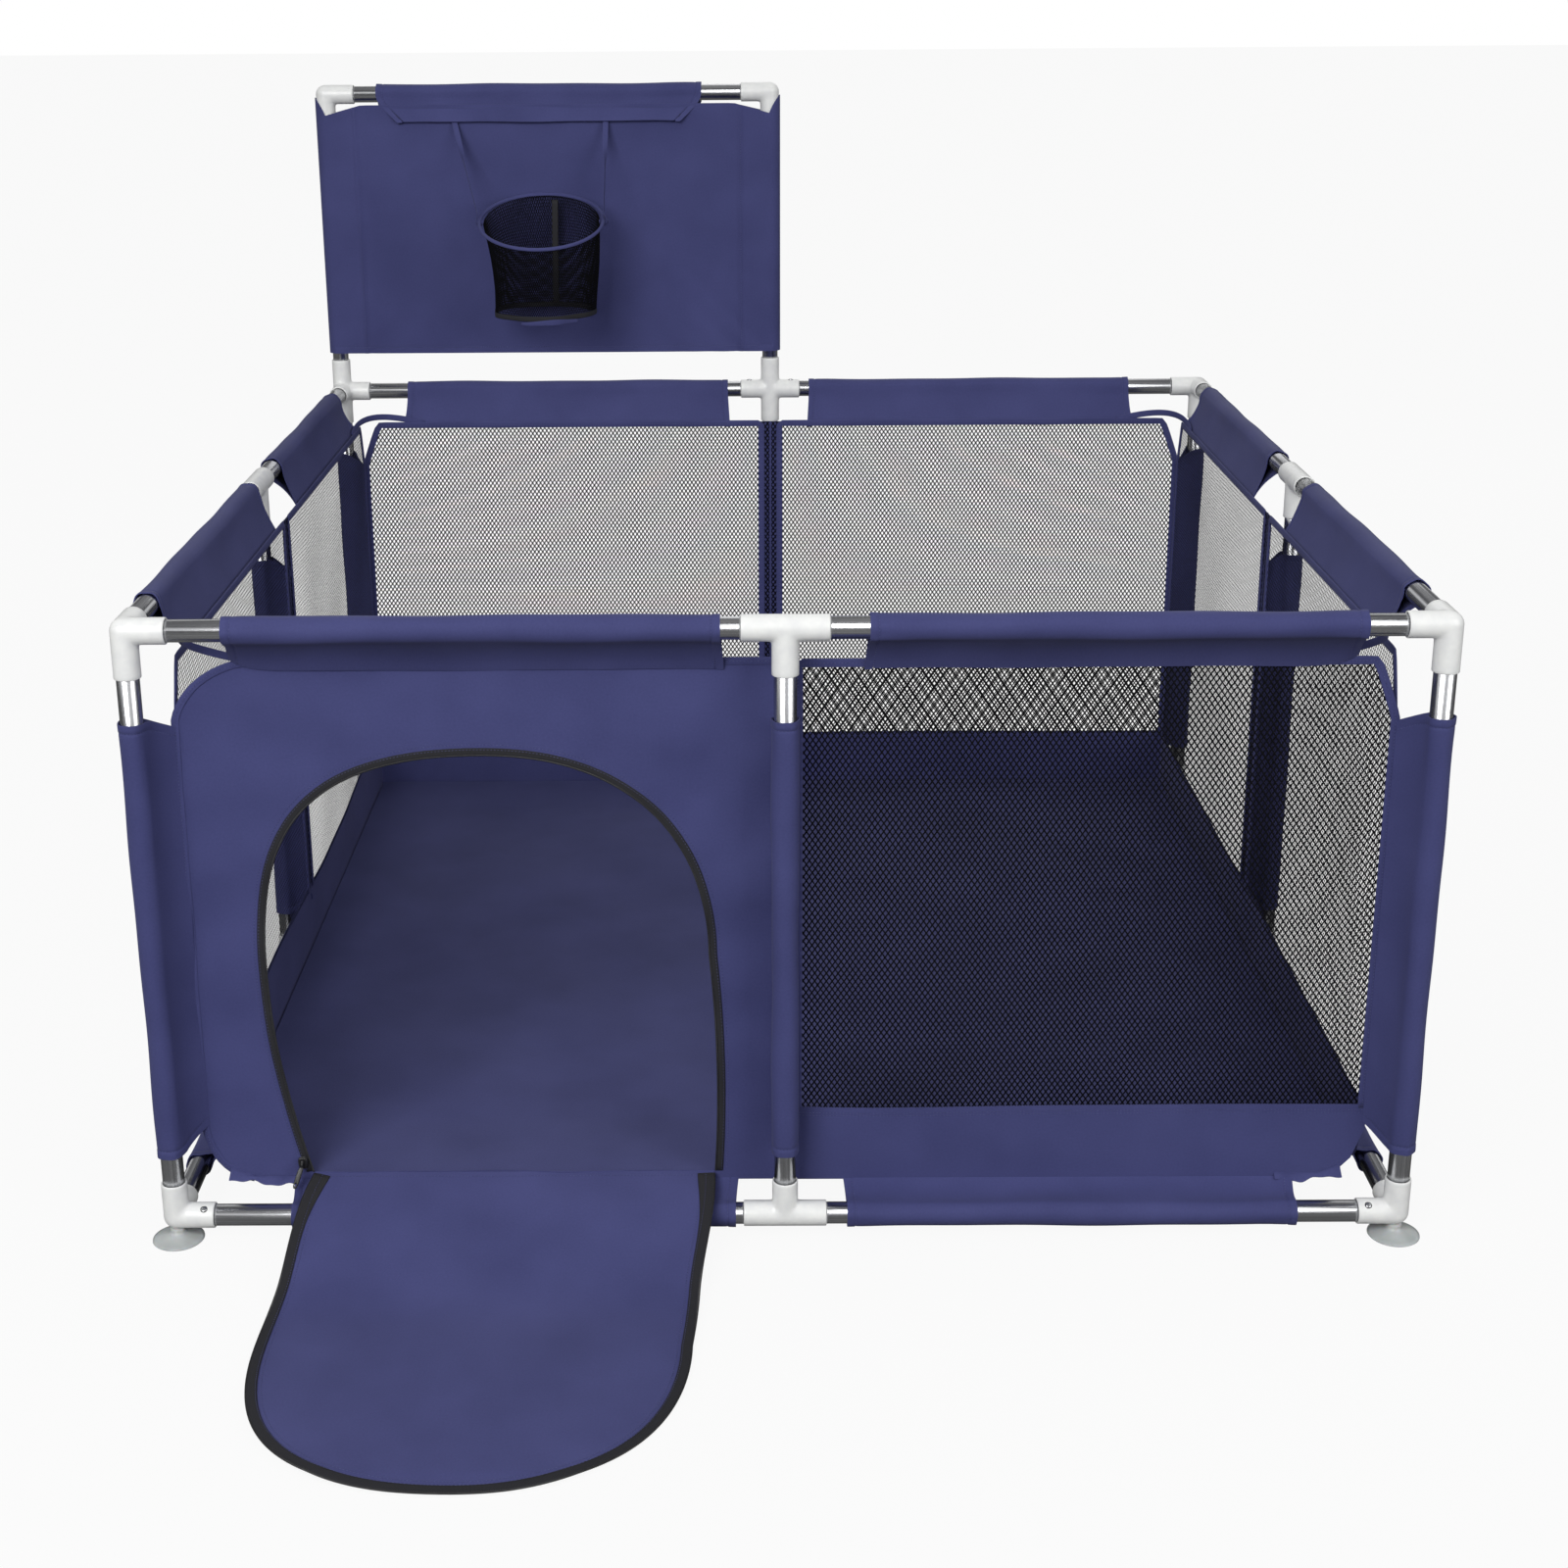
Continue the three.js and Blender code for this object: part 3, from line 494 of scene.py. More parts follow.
for name, outwards in {"front_left": (0, -0.5736, 0.8192), "front_right": (0, -0.5736, 0.8192),
                       "back_cross_left": (0, 0, 1), "back_cross_right": (0, 0, 1)}.items():
    outwards = Vector(outwards)
    tube_height, side_y = (TOP_Z, HALF) if "back" in name else (BASE_Z, -HALF)
    axis = Vector((middle(f"lock_button_{name}").x, YARD_Y + side_y, tube_height))
    section = [(0.0072, 0), (0.0072, 0.0041), (0.0083, 0.0041), (0.0084, BUTTON_RADIUS),
               (0.0132, BUTTON_RADIUS), (0.0137, 0.0026), (0.0139, 0.0018), (0.014, 0)]
    points, local = turned_about(axis, axis + outwards, section, sides=24)
    button = new_piece(f"button_{name}", points, grid_quads(len(section), 24, closed_columns=True),
                       polished_steel, body=f"lock_button_{name}", grain=local, weld=True)
    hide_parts(f"lock_button_{name}")

    # The hole round the button, as painted shadow: a thin dark ring that lies on the arm, bent to
    # the arm's roundness.
    turn = np.linspace(0, 2 * np.pi, 24, endpoint=False)[None, :]
    radius = np.array([BUTTON_RADIUS + 0.0001, HOLE_RADIUS])[:, None]
    across_arm, along_arm = radius * np.sin(turn), radius * np.cos(turn)
    lift = np.sqrt((FITTING_RADIUS + 0.00012) ** 2 - across_arm ** 2)
    sideways = outwards.cross(Vector((1, 0, 0)))
    ring = (np.array(axis) + lift[..., None] * np.array(outwards)
            + along_arm[..., None] * np.array([1.0, 0, 0])
            + across_arm[..., None] * np.array(sideways))
    hole = new_piece(f"button_hole_shadow_{name}", ring, grid_quads(2, 24, closed_columns=True), painted_hole_shadow,
                     thickness=0.0002)

# ---- Sleeves --------------------------------------------------------------------------------
# Tunnels of navy woven polyester that hold the cover to the tubes. Each is a strip folded round
# its tube and sewn shut along the wall's edge, with a stitched hem at both ends.

CLOTH = 0.0010
WALL_OFFSET = 0.588      # from the yard's middle to a cover wall
WALL_BOTTOM = 0.048
WALL_TOP = 0.607
SLEEVE_RADIUS = 0.0129
POST_SLEEVE = (0.097, 0.557)
TURNS = {"front": (1, 0), "right": (0, 1), "back": (-1, 0), "left": (0, -1)}

# Polyester yarns of 0.45 mm in a plain weave, drawn at twice that so that they show. A slow
# unevenness of dye and a soft sheen give the flat matt navy of a coated tent cloth.
navy_cloth, navy_tree, navy_shader = new_material(
    "navy_woven_polyester", 0.72, **{"Sheen Weight": 0.05, "Sheen Roughness": 0.5,
                                     "Specular IOR Level": 0.15})
YARN = 0.0009
navy_uv = add_node(navy_tree, "ShaderNodeUVMap", {"uv_map": "cloth"})
navy_yarns = []
for direction in ("X", "Y"):
    navy_yarns.append(add_node(
        navy_tree, "ShaderNodeTexWave",
        {"wave_type": "BANDS", "bands_direction": direction, "wave_profile": "SIN",
         "Scale": 2 * math.pi / 20 / YARN, "Distortion": 0.6, "Detail": 1.0, "Detail Scale": 0.02},
        {"Vector": navy_uv.outputs["UV"]}))
navy_weave = add_node(navy_tree, "ShaderNodeMath", {"operation": "MAXIMUM"})
navy_tree.links.new(navy_yarns[0].outputs["Fac"], navy_weave.inputs[0])
navy_tree.links.new(navy_yarns[1].outputs["Fac"], navy_weave.inputs[1])
navy_dye = add_node(navy_tree, "ShaderNodeTexNoise", {"Scale": 9.0, "Detail": 3.0},
                    {"Vector": navy_uv.outputs["UV"]})
navy_slub = add_node(navy_tree, "ShaderNodeTexNoise", {"Scale": 420.0, "Detail": 2.0},
                     {"Vector": navy_uv.outputs["UV"]})
navy_mix = add_node(navy_tree, "ShaderNodeMath", {"operation": "MULTIPLY_ADD"},
                    {"Value": navy_slub.outputs["Fac"]})
navy_mix.inputs[1].default_value = 0.45
navy_tree.links.new(navy_dye.outputs["Fac"], navy_mix.inputs[2])
navy_tone = add_node(navy_tree, "ShaderNodeValToRGB", links={"Fac": navy_mix.outputs["Value"]},
                     stops=[(0.45, "#3b3e6a"), (1.0, "#474a7a")])
navy_bump = add_node(navy_tree, "ShaderNodeBump", {"Strength": 0.35, "Distance": 0.00025},
                     {"Height": navy_weave.outputs["Value"]})
navy_tree.links.new(navy_tone.outputs["Color"], navy_shader.inputs["Base Color"])
navy_tree.links.new(navy_bump.outputs["Normal"], navy_shader.inputs["Normal"])

navy_thread, thread_tree, thread_shader = new_material("navy_sewing_thread", 0.5)
thread_place = add_node(thread_tree, "ShaderNodeTexCoord")
thread_twist = add_node(thread_tree, "ShaderNodeTexNoise", {"Scale": 900.0},
                        {"Vector": thread_place.outputs["Object"]})
thread_tone = add_node(thread_tree, "ShaderNodeValToRGB",
                       links={"Fac": thread_twist.outputs["Fac"]},
                       stops=[(0.35, "#3c3f6a"), (0.65, "#565a8a")])
thread_tree.links.new(thread_tone.outputs["Color"], thread_shader.inputs["Base Color"])


def on_side(points, side):
    """Points given for the front side, measured from the yard's middle, turned to another side."""
    cosine, sine = TURNS[side]
    x, y, z = np.moveaxis(np.asarray(points, float), -1, 0)
    return np.stack([cosine * x - sine * y, sine * x + cosine * y + YARD_Y, z], -1)


def sleeve_section(reach, angle):
    """Points round a sleeve, from its sewn edge onto a circle, round it and back, with how near
    each is to the sewn edge, from 0 to 1. Near that edge the two layers lie together."""
    opening = math.acos(SLEEVE_RADIUS / reach)
    turn = angle + np.linspace(opening, 2 * np.pi - opening, 37)
    circle = SLEEVE_RADIUS * np.stack([np.cos(turn), np.sin(turn)], -1)
    seam = reach * np.array([math.cos(angle), math.sin(angle)])
    layer = 0.0006 * np.array([-math.sin(angle), math.cos(angle)])
    share = np.linspace(0, 1, 11)[:-1, None]
    pinch = share - share ** 2.2
    away = circle[0] - seam * (circle[0] @ seam) / reach ** 2
    out = (seam + layer) * (1 - share) + circle[0] * share - away * pinch
    back = ((seam - layer) * (1 - share) + circle[-1] * share + away * pinch)[::-1]
    section = np.concatenate([out, circle, back])
    closeness = (np.linalg.norm(section, axis=-1) - SLEEVE_RADIUS) / (reach - SLEEVE_RADIUS)
    return section, np.clip(closeness, 0, 1)


def hemmed_rows(length, count=34):
    """Distances along a piece from one hem to the other, close together where the hems are."""
    near_end = np.array([0, 0.0012, 0.004, 0.0074, 0.0084, 0.0094, 0.0115, 0.016, 0.024])
    inner = np.linspace(0.024, length - 0.024, count)[1:-1]
    return np.concatenate([near_end, inner, (length - near_end)[::-1]])


def sleeve_sheet(length, reach, angle, slant, loose, hang=0.0, corner_end=1):
    """A sleeve with its tube's axis at the origin, as along, across and up, and its cloth's uv.
    Its radius swells where the hem is doubled, dips at the stitching, and ripples slowly along
    the tube. The ends lean by slant towards the sewn edge, which hangs down by hang, and is drawn
    up as much at the end that is at the yard's corner."""
    section, closeness = sleeve_section(reach, angle)
    rows = hemmed_rows(length)[:, None]
    from_end = np.minimum(rows, length - rows)
    turn = np.arctan2(section[:, 1], section[:, 0])[None, :]
    swell = (np.where(from_end < 0.0084, 0.0004, 0)
             - 0.0006 * np.exp(-((from_end - 0.0084) / 0.0008) ** 2))
    pucker = 0.0005 * np.exp(-from_end / 0.03) * np.sin(5 * turn + loose)
    ripple = (0.0005 * np.sin(rows * 21 + 2 * turn + loose) + 0.0003 * np.sin(rows * 47 - turn
              + 2 * loose)) * np.clip(from_end / 0.03, 0, 1)
    grow = 1 + (swell + (pucker + ripple) * (1 - 0.7 * closeness)) / SLEEVE_RADIUS
    along = rows + (slant * closeness)[None, :] * (1 - 2 * rows / length)
    to_corner = np.clip(corner_end * (2 * rows / length - 1), 0, 1)
    droop = hang * closeness ** 2 * (1 - 1.7 * to_corner ** 18)
    points = np.stack([np.broadcast_to(along, grow.shape), grow * section[:, 0],
                       grow * section[:, 1] - droop], -1)
    girth = np.concatenate([[0], np.cumsum(np.linalg.norm(np.diff(section, axis=0), axis=-1))])
    uv = np.stack(np.broadcast_arrays(girth[None, :], rows), -1)
    return points, uv, girth[-1]


def add_cloth(name, points, uv, body="frame",
              material=None, thickness=CLOTH):
    """A sheet of cloth from a grid of points."""
    cloth = new_piece(name, points, grid_quads(*points.shape[:2]), material or navy_cloth, body,
                      uv=uv, thickness=thickness)
    return cloth


def stitches(path, facing, pitch=0.0034, length=0.0024):
    """Points and faces of a run of stitches along a path. Each is a short thread, thickest in the
    middle, that points along the path and stands on the cloth."""
    path, facing = np.asarray(path, float), np.broadcast_to(facing, np.shape(path))
    gone = np.concatenate([[0], np.cumsum(np.linalg.norm(np.diff(path, axis=0), axis=-1))])
    centres = np.arange(pitch / 2, gone[-1], pitch)
    at = lambda distance, values: np.stack([np.interp(distance, gone, v) for v in values.T], -1)
    start, end = at(centres - length / 2, path), at(centres + length / 2, path)
    up = at(centres, facing)
    along = end - start
    along /= np.linalg.norm(along, axis=-1, keepdims=True)
    across = np.cross(up, along) * 0.00035
    centre = (start + end) / 2
    points = np.stack([start, centre + across, centre + up * 0.0004, centre - across,
                       centre - up * 0.0003, end], 1)
    pattern = np.array([(0, 2, 1), (0, 3, 2), (0, 4, 3), (0, 1, 4), (5, 1, 2), (5, 2, 3),
                        (5, 3, 4), (5, 4, 1)])
    faces = (pattern[None] + 6 * np.arange(len(centres))[:, None, None]).reshape(-1, 3)
    return points.reshape(-1, 3), faces


def add_stitching(name, runs, body="frame", material=None):
    """One piece from several runs of stitches, each a path and the way its cloth faces."""
    all_points, all_faces, count = [], [], 0
    for path, facing in runs:
        points, faces = stitches(path, facing)
        all_points.append(points)
        all_faces.append(faces + count)
        count += len(points)
    seam = new_piece(name, np.concatenate(all_points), np.concatenate(all_faces),
                     material or navy_thread, body)
    return seam


def sleeve_stitches(points):
    """The two runs of stitches round a sleeve's hems, with the way the cloth faces there."""
    runs = []
    for row in (4, -5):
        loop = points[row]
        spin = np.cross(np.gradient(points, axis=1)[row], np.gradient(points, axis=0)[row])
        facing = spin / np.linalg.norm(spin, axis=-1, keepdims=True)
        runs.append((loop + facing * 0.0006, facing))
    return runs


RAIL_SLEEVES = {
    "front": {"top": [(-.527, -.061), (.079, .543)], "base": [(-.501, -.050), (.063, .518)]},
    "right": {"top": [(-.510, -.083), (.100, .534)], "base": [(-.520, -.058), (.058, .520)]},
    "back": {"top": [(-.517, -.056), (.061, .524)], "base": [(-.520, -.058), (.058, .520)]},
    "left": {"top": [(-.525, -.090), (.048, .532)], "base": [(-.520, -.058), (.058, .520)]},
}

cover_pieces = {side: [] for side in TURNS}
for number, (side, levels) in enumerate(RAIL_SLEEVES.items()):
    hem_runs = []
    for level, spans in levels.items():
        rail_z, seam_z = ((TOP_Z, WALL_TOP - 0.001) if level == "top"
                          else (BASE_Z, WALL_BOTTOM + 0.001))
        inwards, rise = HALF - WALL_OFFSET - (0.0019 if level == "top" else 0), seam_z - rail_z
        for half_name, (start, end) in zip(("a", "b"), spans):
            points, uv, girth = sleeve_sheet(end - start, math.hypot(inwards, rise),
                                             math.atan2(rise, inwards), -0.003, number + 3 * start,
                                             0.0075 if level == "top" else 0.0,
                                             -1 if half_name == "a" else 1)
            points = on_side(points + np.array([start, -HALF, rail_z]), side)
            hem_runs += sleeve_stitches(points)
            cover_pieces[side].append(add_cloth(
                f"sleeve_{level}_{side}_{half_name}", points, uv))
    posts = [(0, 0)]
    if side in ("front", "back"):
        posts += [(-HALF, -WALL_OFFSET), (HALF, WALL_OFFSET)]
    for post_number, (post_x, seam_x) in enumerate(posts):
        inwards, run = HALF - WALL_OFFSET, seam_x - post_x
        length = POST_SLEEVE[1] - POST_SLEEVE[0]
        points, uv, girth = sleeve_sheet(length, math.hypot(run, inwards), math.atan2(inwards, run),
                                         0.016, 2 * number + post_number)
        points = np.stack([points[..., 1], points[..., 2], points[..., 0]], -1)
        points = on_side(points + np.array([post_x, -HALF, POST_SLEEVE[0]]), side)
        hem_runs += sleeve_stitches(points)
        cover_pieces[side].append(add_cloth(
            f"sleeve_post_{side}_{post_number}", points, uv))
    cover_pieces[side].append(add_stitching(f"stitching_sleeves_{side}", hem_runs))

# ---- Mesh bays ------------------------------------------------------------------------------
# Seven of the eight bays are black knitted polyester mesh, with diamond holes. Each is sewn to a
# navy band along the bottom and bound in navy tape on its other edges.

HOLE_WIDTH = 0.0058
HOLE_HEIGHT = 0.0086
THREAD_WIDTH = {"front": 0.00145, "back": 0.0016, "right": 0.0013, "left": 0.0013}
THREAD_DEPTH = 0.0001
BAND_TOP = 0.131
WALL_HALF = {"front": 0.591, "back": 0.591, "right": 0.5864, "left": 0.5864}

# Dull black filament yarn. Its knit is too fine to see and shows as a faint mottling.
black_mesh, mesh_tree, mesh_shader = new_material("black_mesh_yarn", 0.8, **{
    "Specular IOR Level": 0.12})
mesh_place = add_node(mesh_tree, "ShaderNodeTexCoord")
mesh_knit = add_node(mesh_tree, "ShaderNodeTexNoise", {"Scale": 1500.0, "Detail": 1.0},
                     {"Vector": mesh_place.outputs["Object"]})
mesh_tone = add_node(mesh_tree, "ShaderNodeValToRGB", links={"Fac": mesh_knit.outputs["Fac"]},
                     stops=[(0.3, "#040406"), (0.7, "#0c0c10")])
mesh_bump = add_node(mesh_tree, "ShaderNodeBump", {"Strength": 0.5, "Distance": 0.0002},
                     {"Height": mesh_knit.outputs["Fac"]})
mesh_tree.links.new(mesh_tone.outputs["Color"], mesh_shader.inputs["Base Color"])
mesh_tree.links.new(mesh_bump.outputs["Normal"], mesh_shader.inputs["Normal"])


def wall_slack(x, z, loose):
    """How far a wall bellies outwards: slow waves in metres that die away at its sewn edges."""
    side_edges = np.clip(np.minimum(np.abs(x), 0.591 - np.abs(x)) / 0.10, 0, 1)
    ends = np.clip((z - WALL_BOTTOM) / 0.08, 0, 1) * np.clip((WALL_TOP - z) / 0.08, 0, 1)
    free = np.sin(side_edges * np.pi / 2) * np.sin(ends * np.pi / 2)
    return free * (0.0030 * np.sin(5 * x + 3 * z + loose) + 0.0011 * np.sin(12 * x - 8 * z
                   + 2.1 * loose) + 0.0003 * np.sin(31 * x + 19 * z + loose))


def corner_curve(start, bend, end, count=24):
    """A quadratic curve that leaves start towards bend and comes to end from there."""
    t = np.linspace(0, 1, count)[:, None]
    return ((1 - t) ** 2 * np.array(start) + 2 * t * (1 - t) * np.array(bend)
            + t ** 2 * np.array(end))


def wall_edges(half, square=False, solid=False):
    """The curves of a wall's top and bottom corners in x and z, from its middle to its side. The
    solid door wall has a rounder top, and the corners at the yard's back are square below."""
    run, bend, drop = (.066, (.016, .012), .056) if solid else (.027, (.021, .004), .062)
    top = corner_curve((half - run, WALL_TOP), (half - bend[0], WALL_TOP - bend[1]),
                       (half, WALL_TOP - drop))
    run, rise = (.0005, .004) if square else (.046, .056)
    bottom = corner_curve((half - run, WALL_BOTTOM), (half - run / 6, WALL_BOTTOM + rise / 7),
                          (half, WALL_BOTTOM + rise))
    return top, bottom


def mesh_threads(half, loose, hand, width):
    """Points of the mesh's threads in one bay, right of the middle. One set leans right and one
    left, x = n W +- z W / H; each is cut where it leaves the bay, and follows the wall's belly."""
    top, _ = wall_edges(half)
    threads = []
    for lean in (1, -1):
        spare = WALL_TOP * HOLE_WIDTH / HOLE_HEIGHT
        foot = np.arange(-spare - 0.01, half + spare + 0.01, HOLE_WIDTH)[:, None]
        z = np.linspace(BAND_TOP - 0.003, WALL_TOP - 0.002, 500)[None, :]
        x = foot + lean * z * HOLE_WIDTH / HOLE_HEIGHT
        inside = ((x > 0.001) & (x < half - 0.0015)
                  & (z < np.interp(x, top[:, 0], top[:, 1]) - 0.0015))
        low = np.where(inside, z, 9).min(1)
        high = np.where(inside, z, -9).max(1)
        kept = high - low > 0.006
        step = np.linspace(0, 1, 11)[None, :]
        z = low[kept, None] + step * (high - low)[kept, None]
        x = foot[kept] + lean * z * HOLE_WIDTH / HOLE_HEIGHT
        norm = math.hypot(HOLE_WIDTH, HOLE_HEIGHT)
        beside = np.array([HOLE_HEIGHT, 0, -lean * HOLE_WIDTH]) / norm * width / 2
        outwards = np.array([0, THREAD_DEPTH / 2, 0])
        y = -WALL_OFFSET - wall_slack(hand * x, z, loose) + lean * 0.0003
        line = np.stack([x, y, z], -1)[:, :, None, :]
        corners = np.stack([beside + outwards, outwards - beside, -beside - outwards,
                            beside - outwards])
        threads.append(line + corners)
    threads = np.concatenate(threads)
    threads[..., 0] *= hand
    return threads


def thread_faces(threads):
    """Faces of many four-sided threads, each a closed tube with square ends."""
    lines, rows = threads.shape[:2]
    one = grid_quads(rows, 4, closed_columns=True).tolist() + [
        [3, 2, 1, 0], [4 * rows - 4, 4 * rows - 3, 4 * rows - 2, 4 * rows - 1]]
    return (np.array(one)[None] + 4 * rows * np.arange(lines)[:, None, None]).reshape(-1, 4)


def ribbon(path, facing, width, thickness, sides=12, closed=False):
    """Points, faces and uv of a soft flat tape along a path. Its section is an ellipse drawn out
    flat: width across the path, one or one for each point, and thickness the way it faces."""
    path = np.asarray(path, float)
    facing = np.broadcast_to(facing, path.shape).astype(float)
    along = (np.roll(path, -1, 0) - np.roll(path, 1, 0)) if closed else np.gradient(path, axis=0)
    along /= np.linalg.norm(along, axis=-1, keepdims=True)
    across = np.cross(facing, along)
    across /= np.linalg.norm(across, axis=-1, keepdims=True)
    up = np.cross(along, across)
    turn = np.linspace(0, 2 * np.pi, sides, endpoint=False)
    flatter = lambda value: np.sign(value) * np.abs(value) ** 0.6
    side = np.broadcast_to(width, len(path))[:, None] / 2 * flatter(np.cos(turn))
    lift = thickness / 2 * flatter(np.sin(turn))
    points = path[:, None] + side[..., None] * across[:, None] + lift[:, None] * up[:, None]
    faces = grid_quads(len(path), sides, closed, True).tolist()
    if not closed:
        last = len(path) * sides
        faces += [list(range(sides))[::-1], list(range(last - sides, last))]
    gone = np.concatenate([[0], np.cumsum(np.linalg.norm(np.diff(path, axis=0), axis=-1))])
    uv = np.stack(np.broadcast_arrays(side, gone[:, None]), -1)
    return points, faces, uv


def evenly(path, spacing):
    """A path's points placed afresh at an even spacing along it."""
    path = np.asarray(path, float)
    gone = np.concatenate([[0], np.cumsum(np.linalg.norm(np.diff(path, axis=0), axis=-1))])
    at = np.linspace(0, gone[-1], max(2, int(round(gone[-1] / spacing)) + 1))
    return np.stack([np.interp(at, gone, values) for values in path.T], -1)


def in_wall(x, z, loose, lift=0.0):
    """Points of a wall's surface for x and z, moved outwards by lift."""
    x, z = np.broadcast_arrays(x, z)
    return np.stack([x, -WALL_OFFSET - wall_slack(x, z, loose) - lift, z], -1)


def add_ribbon(name, path, facing, width, thickness, material, slot="navy_fabric", **extra):
    """A soft tape along a path, as a piece of its own."""
    points, faces, uv = ribbon(path, facing, width, thickness, closed=extra.pop("closed", False))
    tape = new_piece(name, points, faces, material, uv=uv, **extra)
    return tape


for number, side in enumerate(TURNS):
    half = WALL_HALF[side]
    seam_runs = []
    outwards = on_side((0, -1, 0), side) - on_side((0, 0, 0), side)
    for hand, half_name in ((-1, "left"), (1, "right")):
        if side == "front" and hand == -1:
            continue
        loose = 1.7 * number + hand
        name = f"{side}_{half_name}"
        threads = on_side(mesh_threads(half, loose, hand, THREAD_WIDTH[side]), side)
        faces = thread_faces(threads)
        net = new_piece(f"mesh_{name}", threads, faces if hand == 1 else faces[:, ::-1],
                        black_mesh)

        at_back = side == "back" or (side, hand) in (("right", 1), ("left", -1))
        top, bottom = wall_edges(half, square=at_back)
        x = np.linspace(0.0, half, 50)
        low = np.interp(x, bottom[:, 0], bottom[:, 1])
        share = np.linspace(0, 1, 9)[:, None]
        z = low + share * (BAND_TOP - low)
        band = in_wall(hand * x[None, :], z, loose, 0.0008)
        band = band if hand == 1 else band[:, ::-1]
        band_uv = band[..., ::2]
        cover_pieces[side] += [net, add_cloth(
            f"band_{name}", on_side(band, side), band_uv)]

        for drop in (0.006, 0.009):
            line = in_wall(hand * np.linspace(0.014, half - 0.004, 60), BAND_TOP - drop, loose,
                           0.0015)
            seam_runs.append((on_side(line, side), outwards))

        # The binding runs up beside the post, along the top, round the corner and down the side.
        inner = 0.0045
        outline = np.concatenate([
            [(0.013, BAND_TOP - 0.004), (0.013, WALL_TOP - inner)],
            top[:, :] - np.stack([np.linspace(0, inner, 24), np.linspace(inner, 0, 24)], -1),
            [(half - inner, BAND_TOP - 0.004)]])
        outline = evenly(outline, 0.008)
        path = on_side(in_wall(hand * outline[:, 0], outline[:, 1], loose, 0.0003), side)
        binding = add_ribbon(f"binding_{name}", path, outwards, 0.009, 0.0026, navy_cloth)
        seam_runs.append((path + outwards * 0.0014, outwards))
        seam_runs.append((path - outwards * 0.0014, -outwards))
        cover_pieces[side].append(binding)
    cover_pieces[side].append(add_stitching(f"stitching_wall_{side}", seam_runs))
    if side != "front":
        z = np.linspace(WALL_BOTTOM + 0.002, WALL_TOP - 0.002, 60)[:, None]
        x = np.linspace(-0.0165, 0.0165, 12)[None, :]
        fold = -0.0007 * np.exp(-((x - 0.004) / 0.0012) ** 2)
        spine = in_wall(x, z, number, 0.0012) + fold[..., None] * np.array([0, 1.0, 0])
        cover_pieces[side].append(add_cloth(f"spine_{side}", on_side(spine, side), spine[..., ::2]))
for side in ("right", "back", "left"):
    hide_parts(f"cover_{side}")
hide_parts("cover_front")

# At each corner the hem of one wall's top carries on round the post to the next wall.
for side, name in (("front", "front_right"), ("right", "back_right"), ("back", "back_left"),
                   ("left", "front_left")):
    strap = corner_curve((0.500, -0.5893, 0.6050), (0.596, -0.5960, 0.629),
                         (0.5893, -0.500, 0.6050))
    strap_path = on_side(strap, side)
    outwards = on_side((1, -1, 0), side) - on_side((0, 0, 0), side)
    add_ribbon(f"corner_strap_{name}", strap_path, outwards, 0.0085, 0.0014, navy_cloth)

# ---- Floor ----------------------------------------------------------------------------------
# A square of the same navy cloth, sewn to the walls a little above their bottom edge, with its
# two front corners cut off. It lies over the ground with soft creases, tighter at its seams.

FLOOR_Z = 0.055
FLOOR_HALF = 0.5866
FLOOR_CUT = 0.052

y = np.linspace(-FLOOR_HALF, FLOOR_HALF, 90)[:, None]
reach = FLOOR_HALF - np.clip(-y - (FLOOR_HALF - FLOOR_CUT), 0, None)
x = np.linspace(-1, 1, 90)[None, :] * reach
free = np.clip((reach - np.abs(x)) / 0.12, 0, 1) * np.clip((FLOOR_HALF - np.abs(y)) / 0.12, 0, 1)
sag = free * (0.0022 * np.sin(4.1 * x + 2.2 * y + 0.4) + 0.0012 * np.sin(9 * x - 13 * y + 1)
              + 0.0006 * np.sin(27 * x + 21 * y) - 0.0015)
floor_points = np.stack([x, np.broadcast_to(y, x.shape), FLOOR_Z + sag], -1)
floor_sheet = add_cloth("floor", on_side(floor_points, "front"), floor_points[..., :2])
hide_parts("cover_floor")

# ---- Door wall ------------------------------------------------------------------------------
# The left bay of the front is solid navy cloth with an arched doorway cut in it. Its edge is
# bound to a zip, and a second zip tape edges the flap.

DOOR_SILL = 0.058
DOOR_TOP = 0.513
DOOR_CROWN_X = -0.290
DOOR_SPRING_Z = 0.300
DOOR_RIGHT_X = -0.074
DOOR_CIRCLE = (0.323, 0.294, 0.841)


def bezier(start, first, second, end, count=40):
    """A cubic curve from start to end, drawn towards two points on the way."""
    t = np.linspace(0, 1, count)[:, None]
    start, first, second, end = map(np.array, (start, first, second, end))
    return ((1 - t) ** 3 * start + 3 * t * (1 - t) ** 2 * first + 3 * t * t * (1 - t) * second
            + t ** 3 * end)


